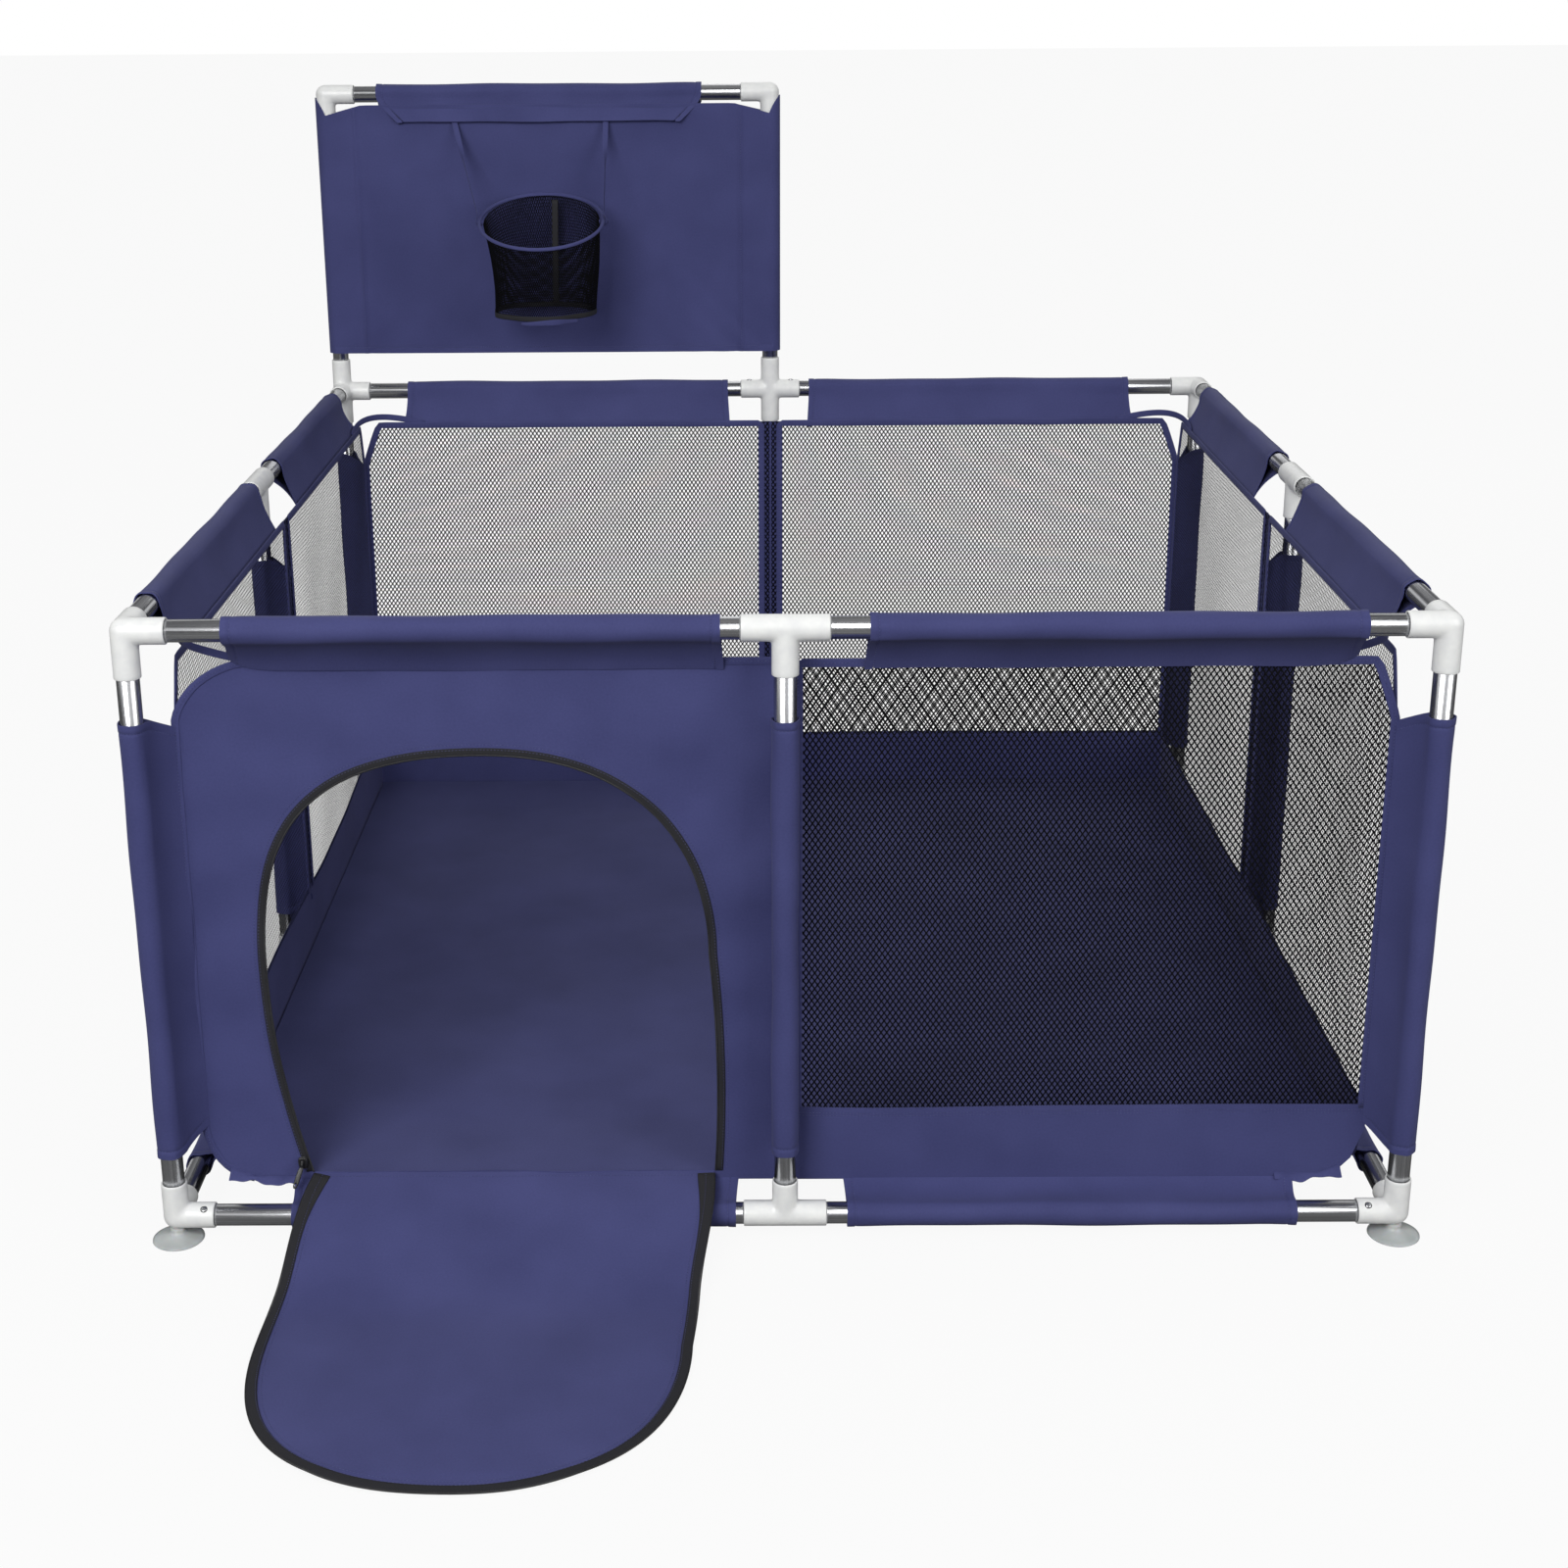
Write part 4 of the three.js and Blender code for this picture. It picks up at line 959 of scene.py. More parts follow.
def door_outline(margin, sill):
    """The doorway's edge in x and z, drawn in by a margin: up the left side on a wide circle,
    over a lopsided arch, and down the right side, which is drawn in a little at half height."""
    centre_x, centre_z, radius = DOOR_CIRCLE
    z = np.linspace(sill, DOOR_SPRING_Z, 60)
    left_side = np.stack([centre_x - np.sqrt((radius - margin) ** 2 - (z - centre_z) ** 2), z], -1)
    left, crown, right_x = left_side[-1, 0], DOOR_TOP - margin, DOOR_RIGHT_X - margin
    rise = crown - DOOR_SPRING_Z
    arch_left = bezier((left, DOOR_SPRING_Z), (left, DOOR_SPRING_Z + 0.7 * rise),
                       (DOOR_CROWN_X + 0.7 * (left - DOOR_CROWN_X), crown), (DOOR_CROWN_X, crown))
    arch_right = bezier((DOOR_CROWN_X, crown),
                        (DOOR_CROWN_X + 0.62 * (right_x - DOOR_CROWN_X), crown),
                        (right_x, DOOR_SPRING_Z + 0.62 * rise), (right_x, DOOR_SPRING_Z))
    right_side = corner_curve((right_x, DOOR_SPRING_Z),
                              (right_x + 0.012, (DOOR_SPRING_Z + sill) / 2),
                              (right_x + 0.004, sill), 60)
    return np.concatenate([left_side, arch_left[1:], arch_right[1:], right_side[1:]])


def star_radius(outline, centre, bearings):
    """How far an outline is from a centre at each bearing, where it goes round once."""
    run = evenly(np.concatenate([outline, outline[:1]]), 0.002) - centre
    bearing = np.arctan2(run[:, 1], run[:, 0]) % (2 * np.pi)
    order = np.argsort(bearing)
    return np.interp(bearings, bearing[order], np.linalg.norm(run, axis=-1)[order],
                     period=2 * np.pi)


top, bottom = wall_edges(WALL_HALF["front"], solid=True)
panel_outline = np.concatenate([bottom[:, :] * (-1, 1), top[::-1] * (-1, 1), [(0, WALL_TOP)],
                                [(0, WALL_BOTTOM)]])
doorway = door_outline(0, DOOR_SILL)
door_centre = np.array([-0.288, 0.27])
key_points = np.concatenate([doorway[[0, -1]], [(0, WALL_TOP), (0, WALL_BOTTOM)]]) - door_centre
bearings = np.sort(np.concatenate([np.linspace(0, 2 * np.pi, 240, endpoint=False),
                                   np.arctan2(key_points[:, 1], key_points[:, 0]) % (2 * np.pi)]))
share = np.linspace(0, 1, 16)[:, None]
radius = ((1 - share) * star_radius(doorway, door_centre, bearings)
          + share * star_radius(panel_outline, door_centre, bearings))
x = door_centre[0] + radius * np.cos(bearings)
z = door_centre[1] + radius * np.sin(bearings)
DOOR_LOOSE = 0.9


def door_wall_slack(x, z):
    """The belly of the door wall: the wall's own waves, and soft folds that fan out from the
    arch's shoulders and hang from the top seam, fading at the doorway and the edges."""
    along_arch = np.arctan2(z - 0.36, x + 0.29)
    out = np.hypot(x + 0.29, z - 0.36)
    fan = np.exp(-((out - 0.27) / 0.07) ** 2) * np.clip((WALL_TOP - z) / 0.05, 0, 1)
    return (wall_slack(x, z, DOOR_LOOSE) + 0.0016 * fan * np.sin(9 * along_arch + 1.0)
            + 0.0012 * fan * np.sin(17 * along_arch - 22 * out))


def in_door_wall(x, z, lift=0.0):
    """Points of the door wall for x and z, moved outwards by lift."""
    x, z = np.broadcast_arrays(x, z)
    return np.stack([x, -WALL_OFFSET - door_wall_slack(x, z) - lift, z], -1)


panel = in_door_wall(x, z)
panel = np.concatenate([panel, panel[:, :1]], axis=1)
cover_pieces["front"].append(add_cloth(
    "door_wall", on_side(panel, "front"), panel[..., ::2]))
front_face = np.array([0, -1.0, 0])
edge = evenly(panel_outline[:-1]
              + np.array([(0.0035, -0.002)]) * (panel_outline[:-1, 1:] > 0.3), 0.008)
edge[:, 1] += 0.003 * (edge[:, 1] < 0.3)
hem_path = on_side(in_door_wall(edge[:, 0], edge[:, 1], 0.0002), "front")
add_ribbon("hem_door_wall", hem_path, front_face, 0.008, 0.0028, navy_cloth)
door_seams = [(hem_path + front_face * 0.0015, front_face)]

# Loose ends of cloth where the base sleeves' strips are cut off, below the bottom corners.
for hand, name in ((-1, "left"), (1, "right")):
    u = np.linspace(0, 1, 26)[None, :]
    v = np.linspace(0, 1, 9)[:, None]
    x = hand * (0.502 + 0.066 * u + 0.003 * u ** 6 * v)
    corner_z = np.interp(np.abs(x), bottom[:, 0], bottom[:, 1])
    ragged = 0.0455 + 0.006 * u ** 2 + 0.0016 * np.sin(9 * u + 1.6) + 0.0009 * np.sin(23 * u + hand)
    z = (corner_z + 0.006) * (1 - v) + ragged * v
    y = -WALL_OFFSET - 0.0012 - 0.0035 * v ** 2 - 0.0012 * np.sin(14 * u + 2) * v
    tab = np.stack(np.broadcast_arrays(x, y, z), -1)
    tab = tab if hand == -1 else tab[:, ::-1]
    add_cloth(f"cloth_end_{name}", on_side(tab, "front"), tab[..., ::2])

# ---- Zip ------------------------------------------------------------------------------------
# A black nylon coil zip with woven tapes. One tape is sewn round the doorway and the other round
# the flap, so that the flap zips shut from the bottom left over the arch to the bottom right.

WALL_TAPE_WIDTH = 0.0075
FLAP_TAPE_WIDTH = 0.0110
TAPE_THICKNESS = 0.0013
COIL_RADIUS = 0.0013
COIL_PITCH = 0.0020      # of a coarse number 8 coil, whose turns just show

# Woven polyester tape: a fine rib along it, dull black, paler where the rib's ridges stand highest.
black_tape, tape_tree, tape_shader = new_material("woven_zip_tape", 0.8)
tape_uv = add_node(tape_tree, "ShaderNodeUVMap", {"uv_map": "cloth"})
tape_rib = add_node(tape_tree, "ShaderNodeTexWave",
                    {"bands_direction": "Y", "Scale": 2 * math.pi / 20 / 0.0011, "Distortion": 0.4},
                    {"Vector": tape_uv.outputs["UV"]})
tape_tone = add_node(tape_tree, "ShaderNodeValToRGB", links={"Fac": tape_rib.outputs["Fac"]},
                     stops=[(0.2, "#121216"), (0.9, "#24242a")])
tape_bump = add_node(tape_tree, "ShaderNodeBump", {"Strength": 0.5, "Distance": 0.0003},
                     {"Height": tape_rib.outputs["Fac"]})
tape_tree.links.new(tape_tone.outputs["Color"], tape_shader.inputs["Base Color"])
tape_tree.links.new(tape_bump.outputs["Normal"], tape_shader.inputs["Normal"])

# Nylon monofilament and lacquered metal: satin black that catches small highlights.
black_nylon, nylon_tree, nylon_shader = new_material("black_nylon", 0.35)
nylon_place = add_node(nylon_tree, "ShaderNodeTexCoord")
nylon_wear = add_node(nylon_tree, "ShaderNodeTexNoise", {"Scale": 700.0, "Detail": 3.0},
                      {"Vector": nylon_place.outputs["Object"]})
nylon_tone = add_node(nylon_tree, "ShaderNodeValToRGB", links={"Fac": nylon_wear.outputs["Fac"]},
                      stops=[(0.35, "#121213"), (0.7, "#262627")])
nylon_rough = add_node(nylon_tree, "ShaderNodeMapRange", {"To Min": 0.25, "To Max": 0.5},
                       {"Value": nylon_wear.outputs["Fac"]})
nylon_tree.links.new(nylon_tone.outputs["Color"], nylon_shader.inputs["Base Color"])
nylon_tree.links.new(nylon_rough.outputs["Result"], nylon_shader.inputs["Roughness"])


def coil(path, facing, radius=COIL_RADIUS, sides=8):
    """Points and faces of a coil beside a zip's tape: a round bar along a path, whose radius
    swells once for every turn of the filament."""
    path = evenly(np.concatenate([path, np.broadcast_to(facing, path.shape)], -1), COIL_PITCH / 4)
    path, facing = path[:, :3], path[:, 3:]
    along = np.gradient(path, axis=0)
    along /= np.linalg.norm(along, axis=-1, keepdims=True)
    across = np.cross(facing, along)
    turn = np.linspace(0, 2 * np.pi, sides, endpoint=False)
    swell = radius * (1 - 0.28 * (np.arange(len(path)) % 4 > 1))[:, None, None]
    points = path[:, None] + swell * (np.cos(turn)[:, None] * across[:, None]
                                      + np.sin(turn)[:, None] * facing[:, None])
    faces = grid_quads(len(path), sides, False, True).tolist()
    faces += [list(range(sides))[::-1], list(range(len(path) * sides - sides, len(path) * sides))]
    return points, faces


outer = evenly(door_outline(-0.0030, DOOR_SILL + 0.001), 0.006)
tape_path = on_side(in_door_wall(outer[:, 0], outer[:, 1], 0.0013), "front")
add_ribbon("zip_tape_wall", tape_path, front_face, WALL_TAPE_WIDTH, TAPE_THICKNESS, black_tape,
           "black_zip")
edge = evenly(door_outline(0.0006, DOOR_SILL + 0.001), 0.004)
coil_path = on_side(in_door_wall(edge[:, 0], edge[:, 1], 0.0016), "front")
points, faces = coil(coil_path, front_face)
new_piece("zip_coil_wall", points, faces, black_nylon)
seam = evenly(door_outline(-0.0052, DOOR_SILL + 0.002), 0.006)
door_seams.append((on_side(in_door_wall(seam[:, 0], seam[:, 1], 0.0021), "front"), front_face))
seam = evenly(door_outline(-0.0100, DOOR_SILL + 0.002), 0.006)
door_seams.append((on_side(in_door_wall(seam[:, 0], seam[:, 1], 0.0006), "front"), front_face))
add_stitching("stitching_door_wall", door_seams)

# ---- Door flap ------------------------------------------------------------------------------
# The cloth cut from the doorway, sewn to its sill. Unzipped, it hangs over the base rail, bends
# where it meets the ground and lies flat there, drawn in a little along its puckered tapes.

FLAP_GAP = 0.0025
HINGE_Z = 0.057
SLOPE = math.radians(19)
BEND_AT = 0.17078        # cloth from the hinge to the bend
BEND_SPREAD = 0.05
FLAP_LENGTH = DOOR_TOP - FLAP_GAP - HINGE_Z

fold_run = np.linspace(0, FLAP_LENGTH + 0.01, 1200)
fold_part = np.clip((fold_run - BEND_AT + BEND_SPREAD) / (2 * BEND_SPREAD), 0, 1)
fold_angle = SLOPE * (1 - fold_part ** 2 * (3 - 2 * fold_part))
fold_step = fold_run[1]
fold_y = -WALL_OFFSET - fold_step * np.cumsum(np.cos(fold_angle))
fold_z = HINGE_Z - fold_step * np.cumsum(np.sin(fold_angle))


def flap_points(x, run, lift=0.0):
    """Points of the lowered flap for x and the cloth's run from its hinge. The run follows a line
    that falls at SLOPE and levels out at the ground; x is drawn in towards the flap's middle,
    and low creases lift the cloth where it is slack."""
    x, run = np.broadcast_arrays(x, run)
    pull = np.clip(run / 0.16, 0, 1)
    x = -0.2955 + (x + 0.2955) * (1 - 0.068 * pull * pull * (3 - 2 * pull))
    angle = np.interp(run, fold_run, fold_angle)
    slack = np.clip(run / 0.05, 0, 1) * (
        0.0016 * (1 + np.sin(7 * x + 9 * run + 1)) + 0.0009 * (1 + np.sin(26 * x - 13 * run))
        + 0.0012 * np.exp(-((run - 0.02) / 0.02) ** 2))
    slack = slack * np.clip((FLAP_LENGTH + 0.004 - run) / 0.03, 0.25, 1) + lift
    y = np.interp(run, fold_run, fold_y) - slack * np.sin(angle)
    z = np.interp(run, fold_run, fold_z) + slack * np.cos(angle)
    return np.stack([x, y, z], -1)


flap_edge = door_outline(FLAP_GAP, HINGE_Z)
flap_crown = np.argmax(flap_edge[:, 1])
run = FLAP_LENGTH * np.sin(np.linspace(0, 1, 70) * np.pi / 2)[:, None]
left_x = np.interp(run + HINGE_Z, flap_edge[:flap_crown + 1, 1], flap_edge[:flap_crown + 1, 0])
right_x = np.interp(run + HINGE_Z, flap_edge[:flap_crown - 1:-1, 1],
                    flap_edge[:flap_crown - 1:-1, 0])
share = 0.5 - 0.5 * np.cos(np.linspace(0, 1, 60) * np.pi)[None, :]
x = left_x + share * (right_x - left_x)
flap = flap_points(x, run)[::-1]
flap_uv = np.stack(np.broadcast_arrays(x, run), -1)[::-1]
flap_sheet = add_cloth("door_flap", on_side(flap, "front"), flap_uv,
                       body=None)
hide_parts("door_flap_inner", "door_flap_outer")


def flap_path(margin, lift, spacing=0.006):
    """A path round the flap's edge, drawn in by a margin, and the way the cloth faces there."""
    line = evenly(door_outline(FLAP_GAP + margin, HINGE_Z + 0.004), spacing)
    x, run = line[:, 0], line[:, 1] - HINGE_Z
    path = on_side(flap_points(x, run, lift), "front")
    angle = np.interp(run, fold_run, fold_angle)
    facing = np.stack([np.zeros_like(angle), -np.sin(angle), np.cos(angle)], -1)
    return path, facing


path, facing = flap_path(0.0042, 0.0013)
from_hinge = 0.006 * np.minimum(np.arange(len(path)), np.arange(len(path))[::-1])
spread = 0.007 * np.exp(-(from_hinge / 0.05) ** 2)     # towards the flap's middle
path[:, 0] -= np.sign(path[:, 0] - path[:, 0].mean()) * spread / 2
flap_tape = add_ribbon("zip_tape_flap", path, facing, FLAP_TAPE_WIDTH + spread, TAPE_THICKNESS,
                       black_tape, "black_zip", body=None)
path, facing = flap_path(-0.0004, 0.0010, 0.004)
points, faces = coil(path, facing)
flap_coil = new_piece("zip_coil_flap", points, faces, black_nylon, body=None)
flap_runs = [flap_path(0.0085, 0.0021), flap_path(0.0140, 0.0007)]
hinge_line = np.linspace(flap_edge[0, 0] + 0.012, flap_edge[-1, 0] - 0.012, 60)
flap_runs.append((on_side(flap_points(hinge_line, 0.006, 0.0007), "front"),
                  np.array([0, -math.sin(SLOPE), math.cos(SLOPE)])))
flap_stitches = add_stitching("stitching_flap", flap_runs, body=None)
for piece in (flap_sheet, flap_tape, flap_coil, flap_stitches):
    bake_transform(piece)

# ---- Zip slider and pull --------------------------------------------------------------------
# A lacquered die-cast slider that waits at the bottom left of the doorway, with a pull that
# swings on the bar of its bridge.


def rounded_block(low, high, power=4.0, rings=18, sides=32, taper=0.0):
    """Points and faces of a block with soft edges between two corners: a superellipsoid, each
    axis of the ball raised to 2 / power. Taper narrows its X towards the top."""
    low, high = np.array(low), np.array(high)
    centre, half = (low + high) / 2, (high - low) / 2
    tilt = np.linspace(-np.pi / 2, np.pi / 2, rings)[:, None]
    turn = np.linspace(0, 2 * np.pi, sides, endpoint=False)[None, :]
    flatter = lambda value: np.sign(value) * np.abs(value) ** (2 / power)
    x = flatter(np.cos(tilt)) * flatter(np.cos(turn))
    y = flatter(np.cos(tilt)) * flatter(np.sin(turn))
    z = np.broadcast_to(flatter(np.sin(tilt)), x.shape)
    points = np.stack([x * (1 - taper * z), y, z], -1) * half + centre
    return points.reshape(-1, 3), grid_quads(rings, sides, closed_columns=True).tolist()


def gather(parts):
    """Several parts' points and faces as one piece's."""
    all_points, all_faces, count = [], [], 0
    for points, faces in parts:
        all_points.append(np.reshape(points, (-1, 3)))
        all_faces += [[corner + count for corner in face] for face in faces]
        count += len(all_points[-1])
    return np.concatenate(all_points), all_faces


slider_low, slider_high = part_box("zip_slider")
slider_x = (slider_low.x + slider_high.x) / 2
slider_z = (slider_low.z + slider_high.z) / 2
slider_back = slider_high.y
pull_bar = Vector((slider_x, slider_back - 0.0065, slider_z))
bridge = [(slider_x, slider_back - 0.0035, slider_z - 0.0052),
          (slider_x, slider_back - 0.0068, slider_z - 0.0042),
          (slider_x, slider_back - 0.0084, slider_z),
          (slider_x, slider_back - 0.0068, slider_z + 0.0042),
          (slider_x, slider_back - 0.0035, slider_z + 0.0052)]
bridge_points, bridge_faces, _ = ribbon(evenly(bridge, 0.0006), (1.0, 0, 0), 0.0012, 0.0022)
slider_points, slider_faces = gather([
    rounded_block((slider_x - .0046, slider_back - .0018, slider_z - .0062),
                  (slider_x + .0046, slider_back - .0002, slider_z + .0062), 3.2, taper=-0.16),
    rounded_block((slider_x - .0046, slider_back - .0044, slider_z - .0062),
                  (slider_x + .0046, slider_back - .0026, slider_z + .0062), 3.2, taper=-0.16),
    rounded_block((slider_x - .0014, slider_back - .0036, slider_z + .0020),
                  (slider_x + .0014, slider_back - .0008, slider_z + .0056), 3.0),
    (bridge_points, bridge_faces)])
slider = new_piece("slider", slider_points, slider_faces, black_nylon, body="zip_slider", weld=True)
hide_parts("zip_slider")

# The pull: a flat tongue with an eye at the bar and a hole near its rounded end.
pull_length, pull_width, pull_thick = 0.0245, 0.0052, 0.0020
PULL_STEPS = 48          # round the tongue's outline
long_run = np.linspace(0, 1, PULL_STEPS, endpoint=False) * 2 * np.pi
outline_long = np.sign(np.cos(long_run)) * np.abs(np.cos(long_run)) ** 0.75 * pull_length / 2
outline_wide = np.sign(np.sin(long_run)) * np.abs(np.sin(long_run)) ** 0.55 * pull_width / 2
hole_long = 0.0085 + 0.0016 * np.cos(long_run)
hole_wide = 0.0011 * np.sin(long_run)
rings = []
for spread, height in ((0, 0.35), (0, 0.5), (0.08, 0.62), (0.35, 0.62), (0.8, 0.5), (1, 0.3),
                       (1, -0.3), (0.8, -0.5), (0.35, -0.62), (0.08, -0.62), (0, -0.5), (0, -0.35)):
    rings.append(np.stack([hole_wide * (1 - spread) + outline_wide * spread,
                           np.full(PULL_STEPS, height * pull_thick * 0.8),
                           -(hole_long * (1 - spread) + outline_long * spread)], -1))
tongue = np.array(rings) + np.array([0, 0, -pull_length / 2 - 0.0006])
pull_points = tongue.reshape(-1, 3)
side_lean, front_lean = math.radians(18), math.radians(-25)
turn_side = np.array(Matrix.Rotation(side_lean, 3, "Y"))
turn_front = np.array(Matrix.Rotation(front_lean, 3, "X"))
pull_points = pull_points @ turn_side.T @ turn_front.T + np.array(pull_bar)
pull = new_piece("pull", pull_points, grid_quads(len(rings), PULL_STEPS, True, True), black_nylon,
                 body="zip_pull")
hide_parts("zip_pull")

# ---- Backboard ------------------------------------------------------------------------------
# A navy cloth panel above the back left bay. Its sides are folded back round the two uprights
# and sewn, and a sleeve along its top edge holds it to the crossbar.

BOARD_BOTTOM = 0.704
BOARD_TOP = 1.040
BOARD_FRONT = 0.6056     # from the yard's middle to the panel
BOARD_WRAP = 0.0142
BOARD_HEM = 0.041        # from an upright to the seam of the cloth folded round it

seam_point = np.array([BOARD_HEM, -0.0122])
seam_far = math.hypot(*seam_point)
seam_bearing = math.atan2(seam_point[1], seam_point[0])
opening = math.acos(BOARD_WRAP / seam_far)
turn = np.linspace(seam_bearing + opening, seam_bearing + 2 * np.pi - opening, 30)
wrap = np.concatenate([
    seam_point + np.linspace(0, 1, 6)[:-1, None]
    * (BOARD_WRAP * np.array([math.cos(turn[0]), math.sin(turn[0])]) - seam_point),
    BOARD_WRAP * np.stack([np.cos(turn), np.sin(turn)], -1)])
left_wrap = wrap + np.array([-HALF, HALF])
right_wrap = (wrap * (-1, 1) + np.array([0, HALF]))[::-1]
board_seams = np.array([-HALF + BOARD_HEM, -BOARD_HEM])
across = np.union1d(np.linspace(-HALF + 0.004, -0.004, 70),
                    (board_seams[:, None] + np.linspace(-0.007, 0.007, 13)).ravel())
section = np.concatenate([left_wrap, np.stack([across, np.full(len(across), BOARD_FRONT)], -1),
                          right_wrap])
girth = np.concatenate([[0], np.cumsum(np.linalg.norm(np.diff(section, axis=0), axis=-1))])
side_room = np.clip(np.minimum(section[:, 0] + HALF, -section[:, 0]) / 0.05, 0, 1)
beyond = np.clip(np.maximum(-HALF - section[:, 0], section[:, 0]) / BOARD_WRAP, 0, 1)
top_z = BOARD_TOP + 0.010 * side_room - 0.004 * (1 - side_room) + 0.024 * beyond ** 0.7
share = np.concatenate([[0, .004, .012, .022, .026, .03], np.linspace(.045, 1, 34)])[:, None]
x = np.broadcast_to(section[:, 0], (len(share), len(section)))
z = BOARD_BOTTOM + share * (top_z - BOARD_BOTTOM)
on_panel = (side_room * np.clip((z - BOARD_BOTTOM) / 0.05, 0.15, 1)
            * np.clip((BOARD_TOP - z) / 0.05, 0, 1))
corner_pull = np.exp(-np.hypot(x + 0.05, z - BOARD_BOTTOM - 0.02) / 0.05)
board_slack = on_panel * (0.0022 * np.sin(8 * x + 5 * z + 0.5) + 0.0011 * np.sin(23 * x - 17 * z)
                          + 0.0004 * np.sin(60 * x + 30 * z)) \
    + 0.0016 * corner_pull * np.sin(150 * (x + z)) * side_room
hem_step = (0.0005 * (z < BOARD_BOTTOM + 0.0085)
            + 0.0013 * np.exp(-((x - board_seams[0]) / 0.0028) ** 2)
            + 0.0013 * np.exp(-((x - board_seams[1]) / 0.0028) ** 2)
            - 0.0007 * np.exp(-((x - board_seams[0] - 0.008) / 0.004) ** 2)
            - 0.0007 * np.exp(-((x - board_seams[1] + 0.008) / 0.004) ** 2))
outwards_y = np.where(np.abs(section[:, 1] - BOARD_FRONT) < 0.0012, 1.0, 0.0)[None, :]
y = section[:, 1] - (board_slack + hem_step) * outwards_y
board = np.stack(np.broadcast_arrays(x, y, z), -1)
board_uv = np.stack(np.broadcast_arrays(girth[None, :], z), -1)
backboard = add_cloth("backboard", on_side(board[:, ::-1], "front"), board_uv[:, ::-1])
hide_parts("hoop_backboard")

head_start, head_end, head_drop, head_in = -0.548, -0.095, 0.037, 0.0215
points, uv, head_girth = sleeve_sheet(head_end - head_start, math.hypot(head_in, head_drop),
                                      math.atan2(-head_drop, -head_in), 0.030, 1.0)
points = on_side(points + np.array([head_start, HALF, HOOP_TOP_Z]), "front")
add_cloth("backboard_head", points, uv)
board_runs = sleeve_stitches(points)


def on_board(x, z, lift=0.0):
    """Points just in front of the backboard's panel."""
    x, z = np.broadcast_arrays(x, z)
    return on_side(np.stack([x, np.full(x.shape, BOARD_FRONT - lift), z], -1), "front")


tall = np.linspace(BOARD_BOTTOM + 0.004, BOARD_TOP - 0.008, 50)
for seam_x in board_seams:
    board_runs.append((on_board(seam_x, tall, 0.0020), front_face))
board_runs.append((on_board(np.linspace(-HALF + 0.01, -0.01, 80), BOARD_BOTTOM + 0.0085, 0.0016),
                   front_face))
add_stitching("stitching_backboard", board_runs)

# ---- Hoop and net ---------------------------------------------------------------------------
# A steel wire ring wrapped in navy cloth, hung from two ribbons that are sewn to the board's top
# and braced against it. A short black mesh net, with a hem of black tape that ends in a navy tab,
# hangs from the ring.

HOOP_CENTRE = np.array([-0.315, 0.518, 0.899])
HOOP_RADIUS = 0.085
HOOP_RIM = 0.0023
HOOP_TILT = math.radians(20)
NET_BOTTOM = 0.774


def on_hoop(turn, radius, drop=0.0):
    """Points round the tilted hoop at a radius, drop below its plane."""
    turn, radius, drop = np.broadcast_arrays(turn, radius, drop)
    x, y = radius * np.cos(turn), radius * np.sin(turn) * math.cos(HOOP_TILT)
    z = radius * np.sin(turn) * math.sin(HOOP_TILT) - drop
    return np.stack([x, y, z], -1) + HOOP_CENTRE


RIM_STEPS = 160          # round the hoop
RIM_SIDES = 20           # round its wire
turn = np.linspace(0, 2 * np.pi, RIM_STEPS, endpoint=False)[:, None]
around_rim = np.linspace(0, 2 * np.pi, RIM_SIDES, endpoint=False)[None, :]
gathers = HOOP_RIM * (1 + 0.035 * np.sin(64 * turn + 2 * around_rim)
                      + 0.14 * np.exp(-((around_rim - 4.1) / 0.25) ** 2))
ring_points = on_hoop(turn, HOOP_RADIUS + gathers * np.cos(around_rim),
                      -gathers * np.sin(around_rim))
ring_uv = np.stack(np.broadcast_arrays(turn * HOOP_RADIUS,
                                       0.006 * np.abs(np.sin(around_rim / 2))), -1)
ring = new_piece("hoop_rim", on_side(ring_points, "front"),
                 grid_quads(RIM_STEPS, RIM_SIDES, True, True)[:, ::-1], navy_cloth, uv=ring_uv)
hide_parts("hoop_ring")

for hand, top_x, name in ((-1, -0.440, "left"), (1, -0.2285, "right")):
    low = HOOP_CENTRE + np.array([hand * HOOP_RADIUS, 0, 0])
    high = np.array([top_x, BOARD_FRONT - 0.0022, HOOP_TOP_Z - head_drop + 0.002])
    share = np.linspace(0, 1, 40)[:, None]
    hang = low * (1 - share) + high * share
    hang[:, 2] -= 0.002 * np.sin(np.pi * share[:, 0])
    loop = low + np.array([[hand * 0.0052, 0.0008, -0.003], [hand * 0.001, 0, -0.0056],
                           [hand * -0.0046, 0, -0.003], [hand * -0.005, 0.001, 0.001]])
    path = evenly(np.concatenate([loop[::-1], [low + np.array([hand * 0.0054, 0.001, 0.002])],
                                  hang[3:]]), 0.004)
    twist = np.clip(np.linspace(2.2, -0.2, len(path)), 0, 1)[:, None]
    twist = (0.5 - 0.5 * np.cos(np.pi * twist))
    facing = np.array([hand, -0.15, 0]) * twist + np.array([0, -1.0, 0]) * (1 - twist)
    add_ribbon(f"hoop_ribbon_{name}", on_side(path, "front"), facing, 0.0080, 0.0013, navy_cloth)

NET_ROWS = 14
NET_TURNS = 150          # threads of each lean round the net
NET_LEAN = 0.75          # radians that a thread turns between the hem and the ring
NET_THREAD_TURN = 0.0062     # half a thread's width, in radians round the net
NET_THREAD_DEPTH = 0.00025   # half its thickness
net_levels = np.linspace(0, 1, NET_ROWS)
net_radii = np.interp(net_levels, [0, 0.25, 0.6, 1], [0.0695, 0.0705, 0.0745, 0.0795])


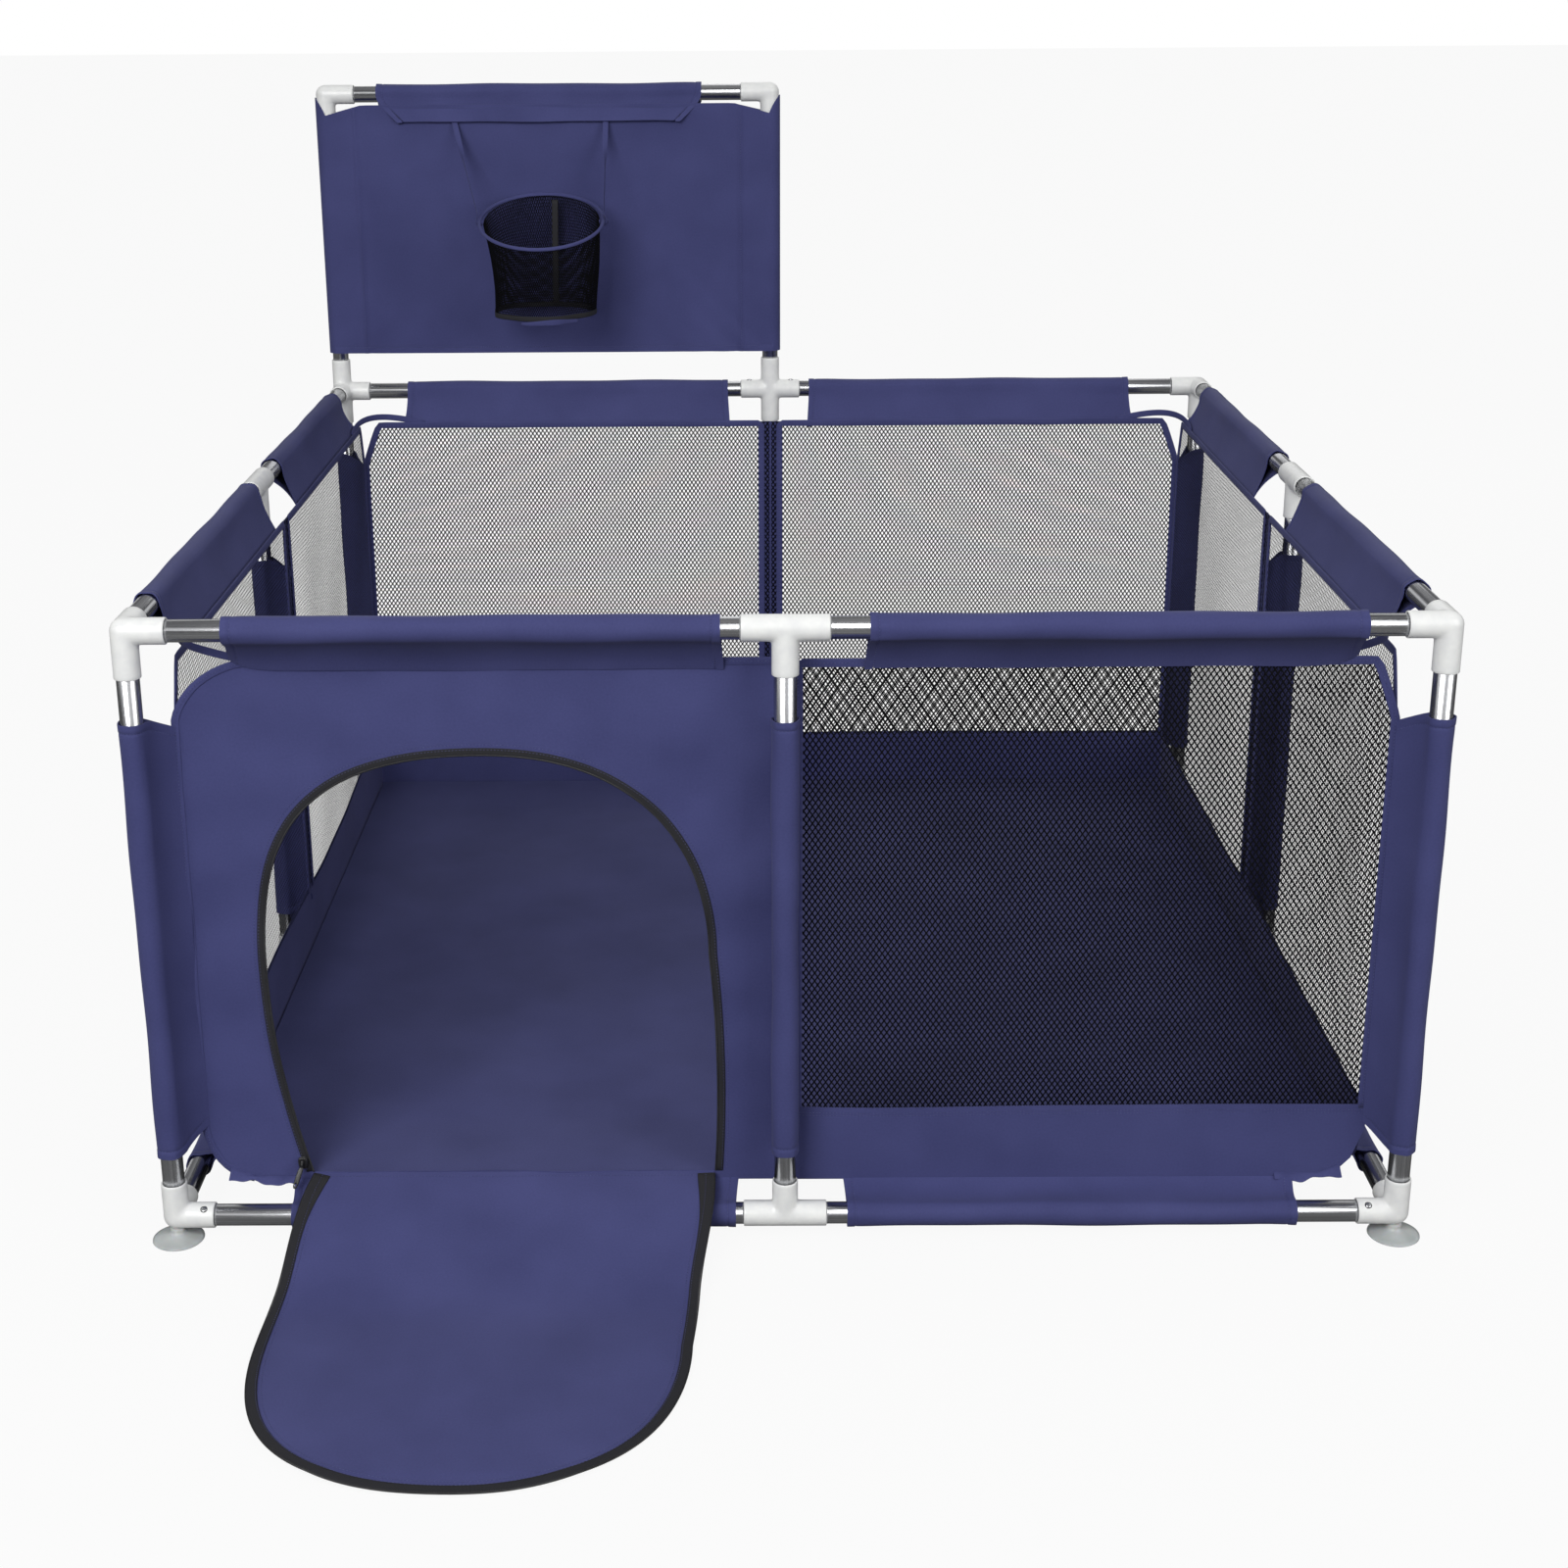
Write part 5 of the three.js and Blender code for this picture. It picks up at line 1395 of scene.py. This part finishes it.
def on_net(turn, level, radius):
    """Points of the net: level 0 is its level bottom edge, and level 1 lies in the hoop's plane."""
    x, y = radius * np.cos(turn), radius * np.sin(turn) * (1 - level * (1 - math.cos(HOOP_TILT)))
    top_z = HOOP_CENTRE[2] + y * math.tan(HOOP_TILT)
    z = NET_BOTTOM + level * (top_z - NET_BOTTOM)
    return np.stack([x + HOOP_CENTRE[0], y + HOOP_CENTRE[1], z], -1)


def net_pleat(turn, level):
    """How far the slack net folds in and out at a turn and level, as a share of its radius."""
    free = 1 - level
    return (1 + free * (0.020 * np.sin(3 * turn + 0.6) + 0.022 * np.sin(5 * turn + 2.2 + level))
            + 0.012 * free * np.sin(9 * turn)
            + 0.05 * np.sin(np.pi * level) * np.cos(turn - 0.3) ** 3)


net_threads = []
for lean in (1, -1):
    start = np.linspace(0, 2 * np.pi, NET_TURNS, endpoint=False)[:, None]
    turn = start + lean * NET_LEAN * net_levels[None, :]
    pleat = net_pleat(turn, net_levels)
    corners = []
    for sideways, outwards_by in ((1, -1), (-1, -1), (-1, 1), (1, 1)):
        radius = net_radii * pleat + outwards_by * NET_THREAD_DEPTH + lean * 0.0002
        corners.append(on_net(turn + sideways * NET_THREAD_TURN, net_levels, radius))
    net_threads.append(np.stack(corners, 2))
net_threads = np.concatenate(net_threads)
ball_net = new_piece("ball_net_mesh", on_side(net_threads, "front"), thread_faces(net_threads),
                     black_mesh)
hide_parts("ball_net")

turn = np.linspace(0, 2 * np.pi, 120, endpoint=False)
hem = on_net(turn, 0.012, 0.0699 * net_pleat(turn, 0.012))
radial = np.stack([np.cos(turn), np.sin(turn), 0 * turn], -1)
add_ribbon("net_hem", on_side(hem, "front"), radial, 0.007, 0.0018, black_tape, "mesh_fabric",
           closed=True)
# The hem's ends meet in a flat navy tab at the front.
turn = np.radians(np.linspace(-112, -42, 30))
tab = on_net(turn, -0.045, 0.0700 * net_pleat(turn, 0.0)) + np.stack(
    [0 * turn, 0 * turn, 0.0012 * np.sin(4 * turn)], -1)
add_ribbon("net_tab", on_side(tab, "front"), np.stack([np.cos(turn), np.sin(turn), 0 * turn], -1),
           0.0085 * np.sin(np.linspace(0.35, 2.6, 30)), 0.0014, navy_cloth, "mesh_fabric")
seam_turn = math.radians(80)
seam_levels = np.linspace(0, 0.97, 24)
seam = on_net(seam_turn, seam_levels, np.interp(seam_levels, net_levels, net_radii)
              * net_pleat(seam_turn, seam_levels) - 0.0014)
add_ribbon("net_seam", on_side(seam, "front"), (math.cos(seam_turn), math.sin(seam_turn), 0), 0.009,
           0.0016, black_tape, "mesh_fabric")

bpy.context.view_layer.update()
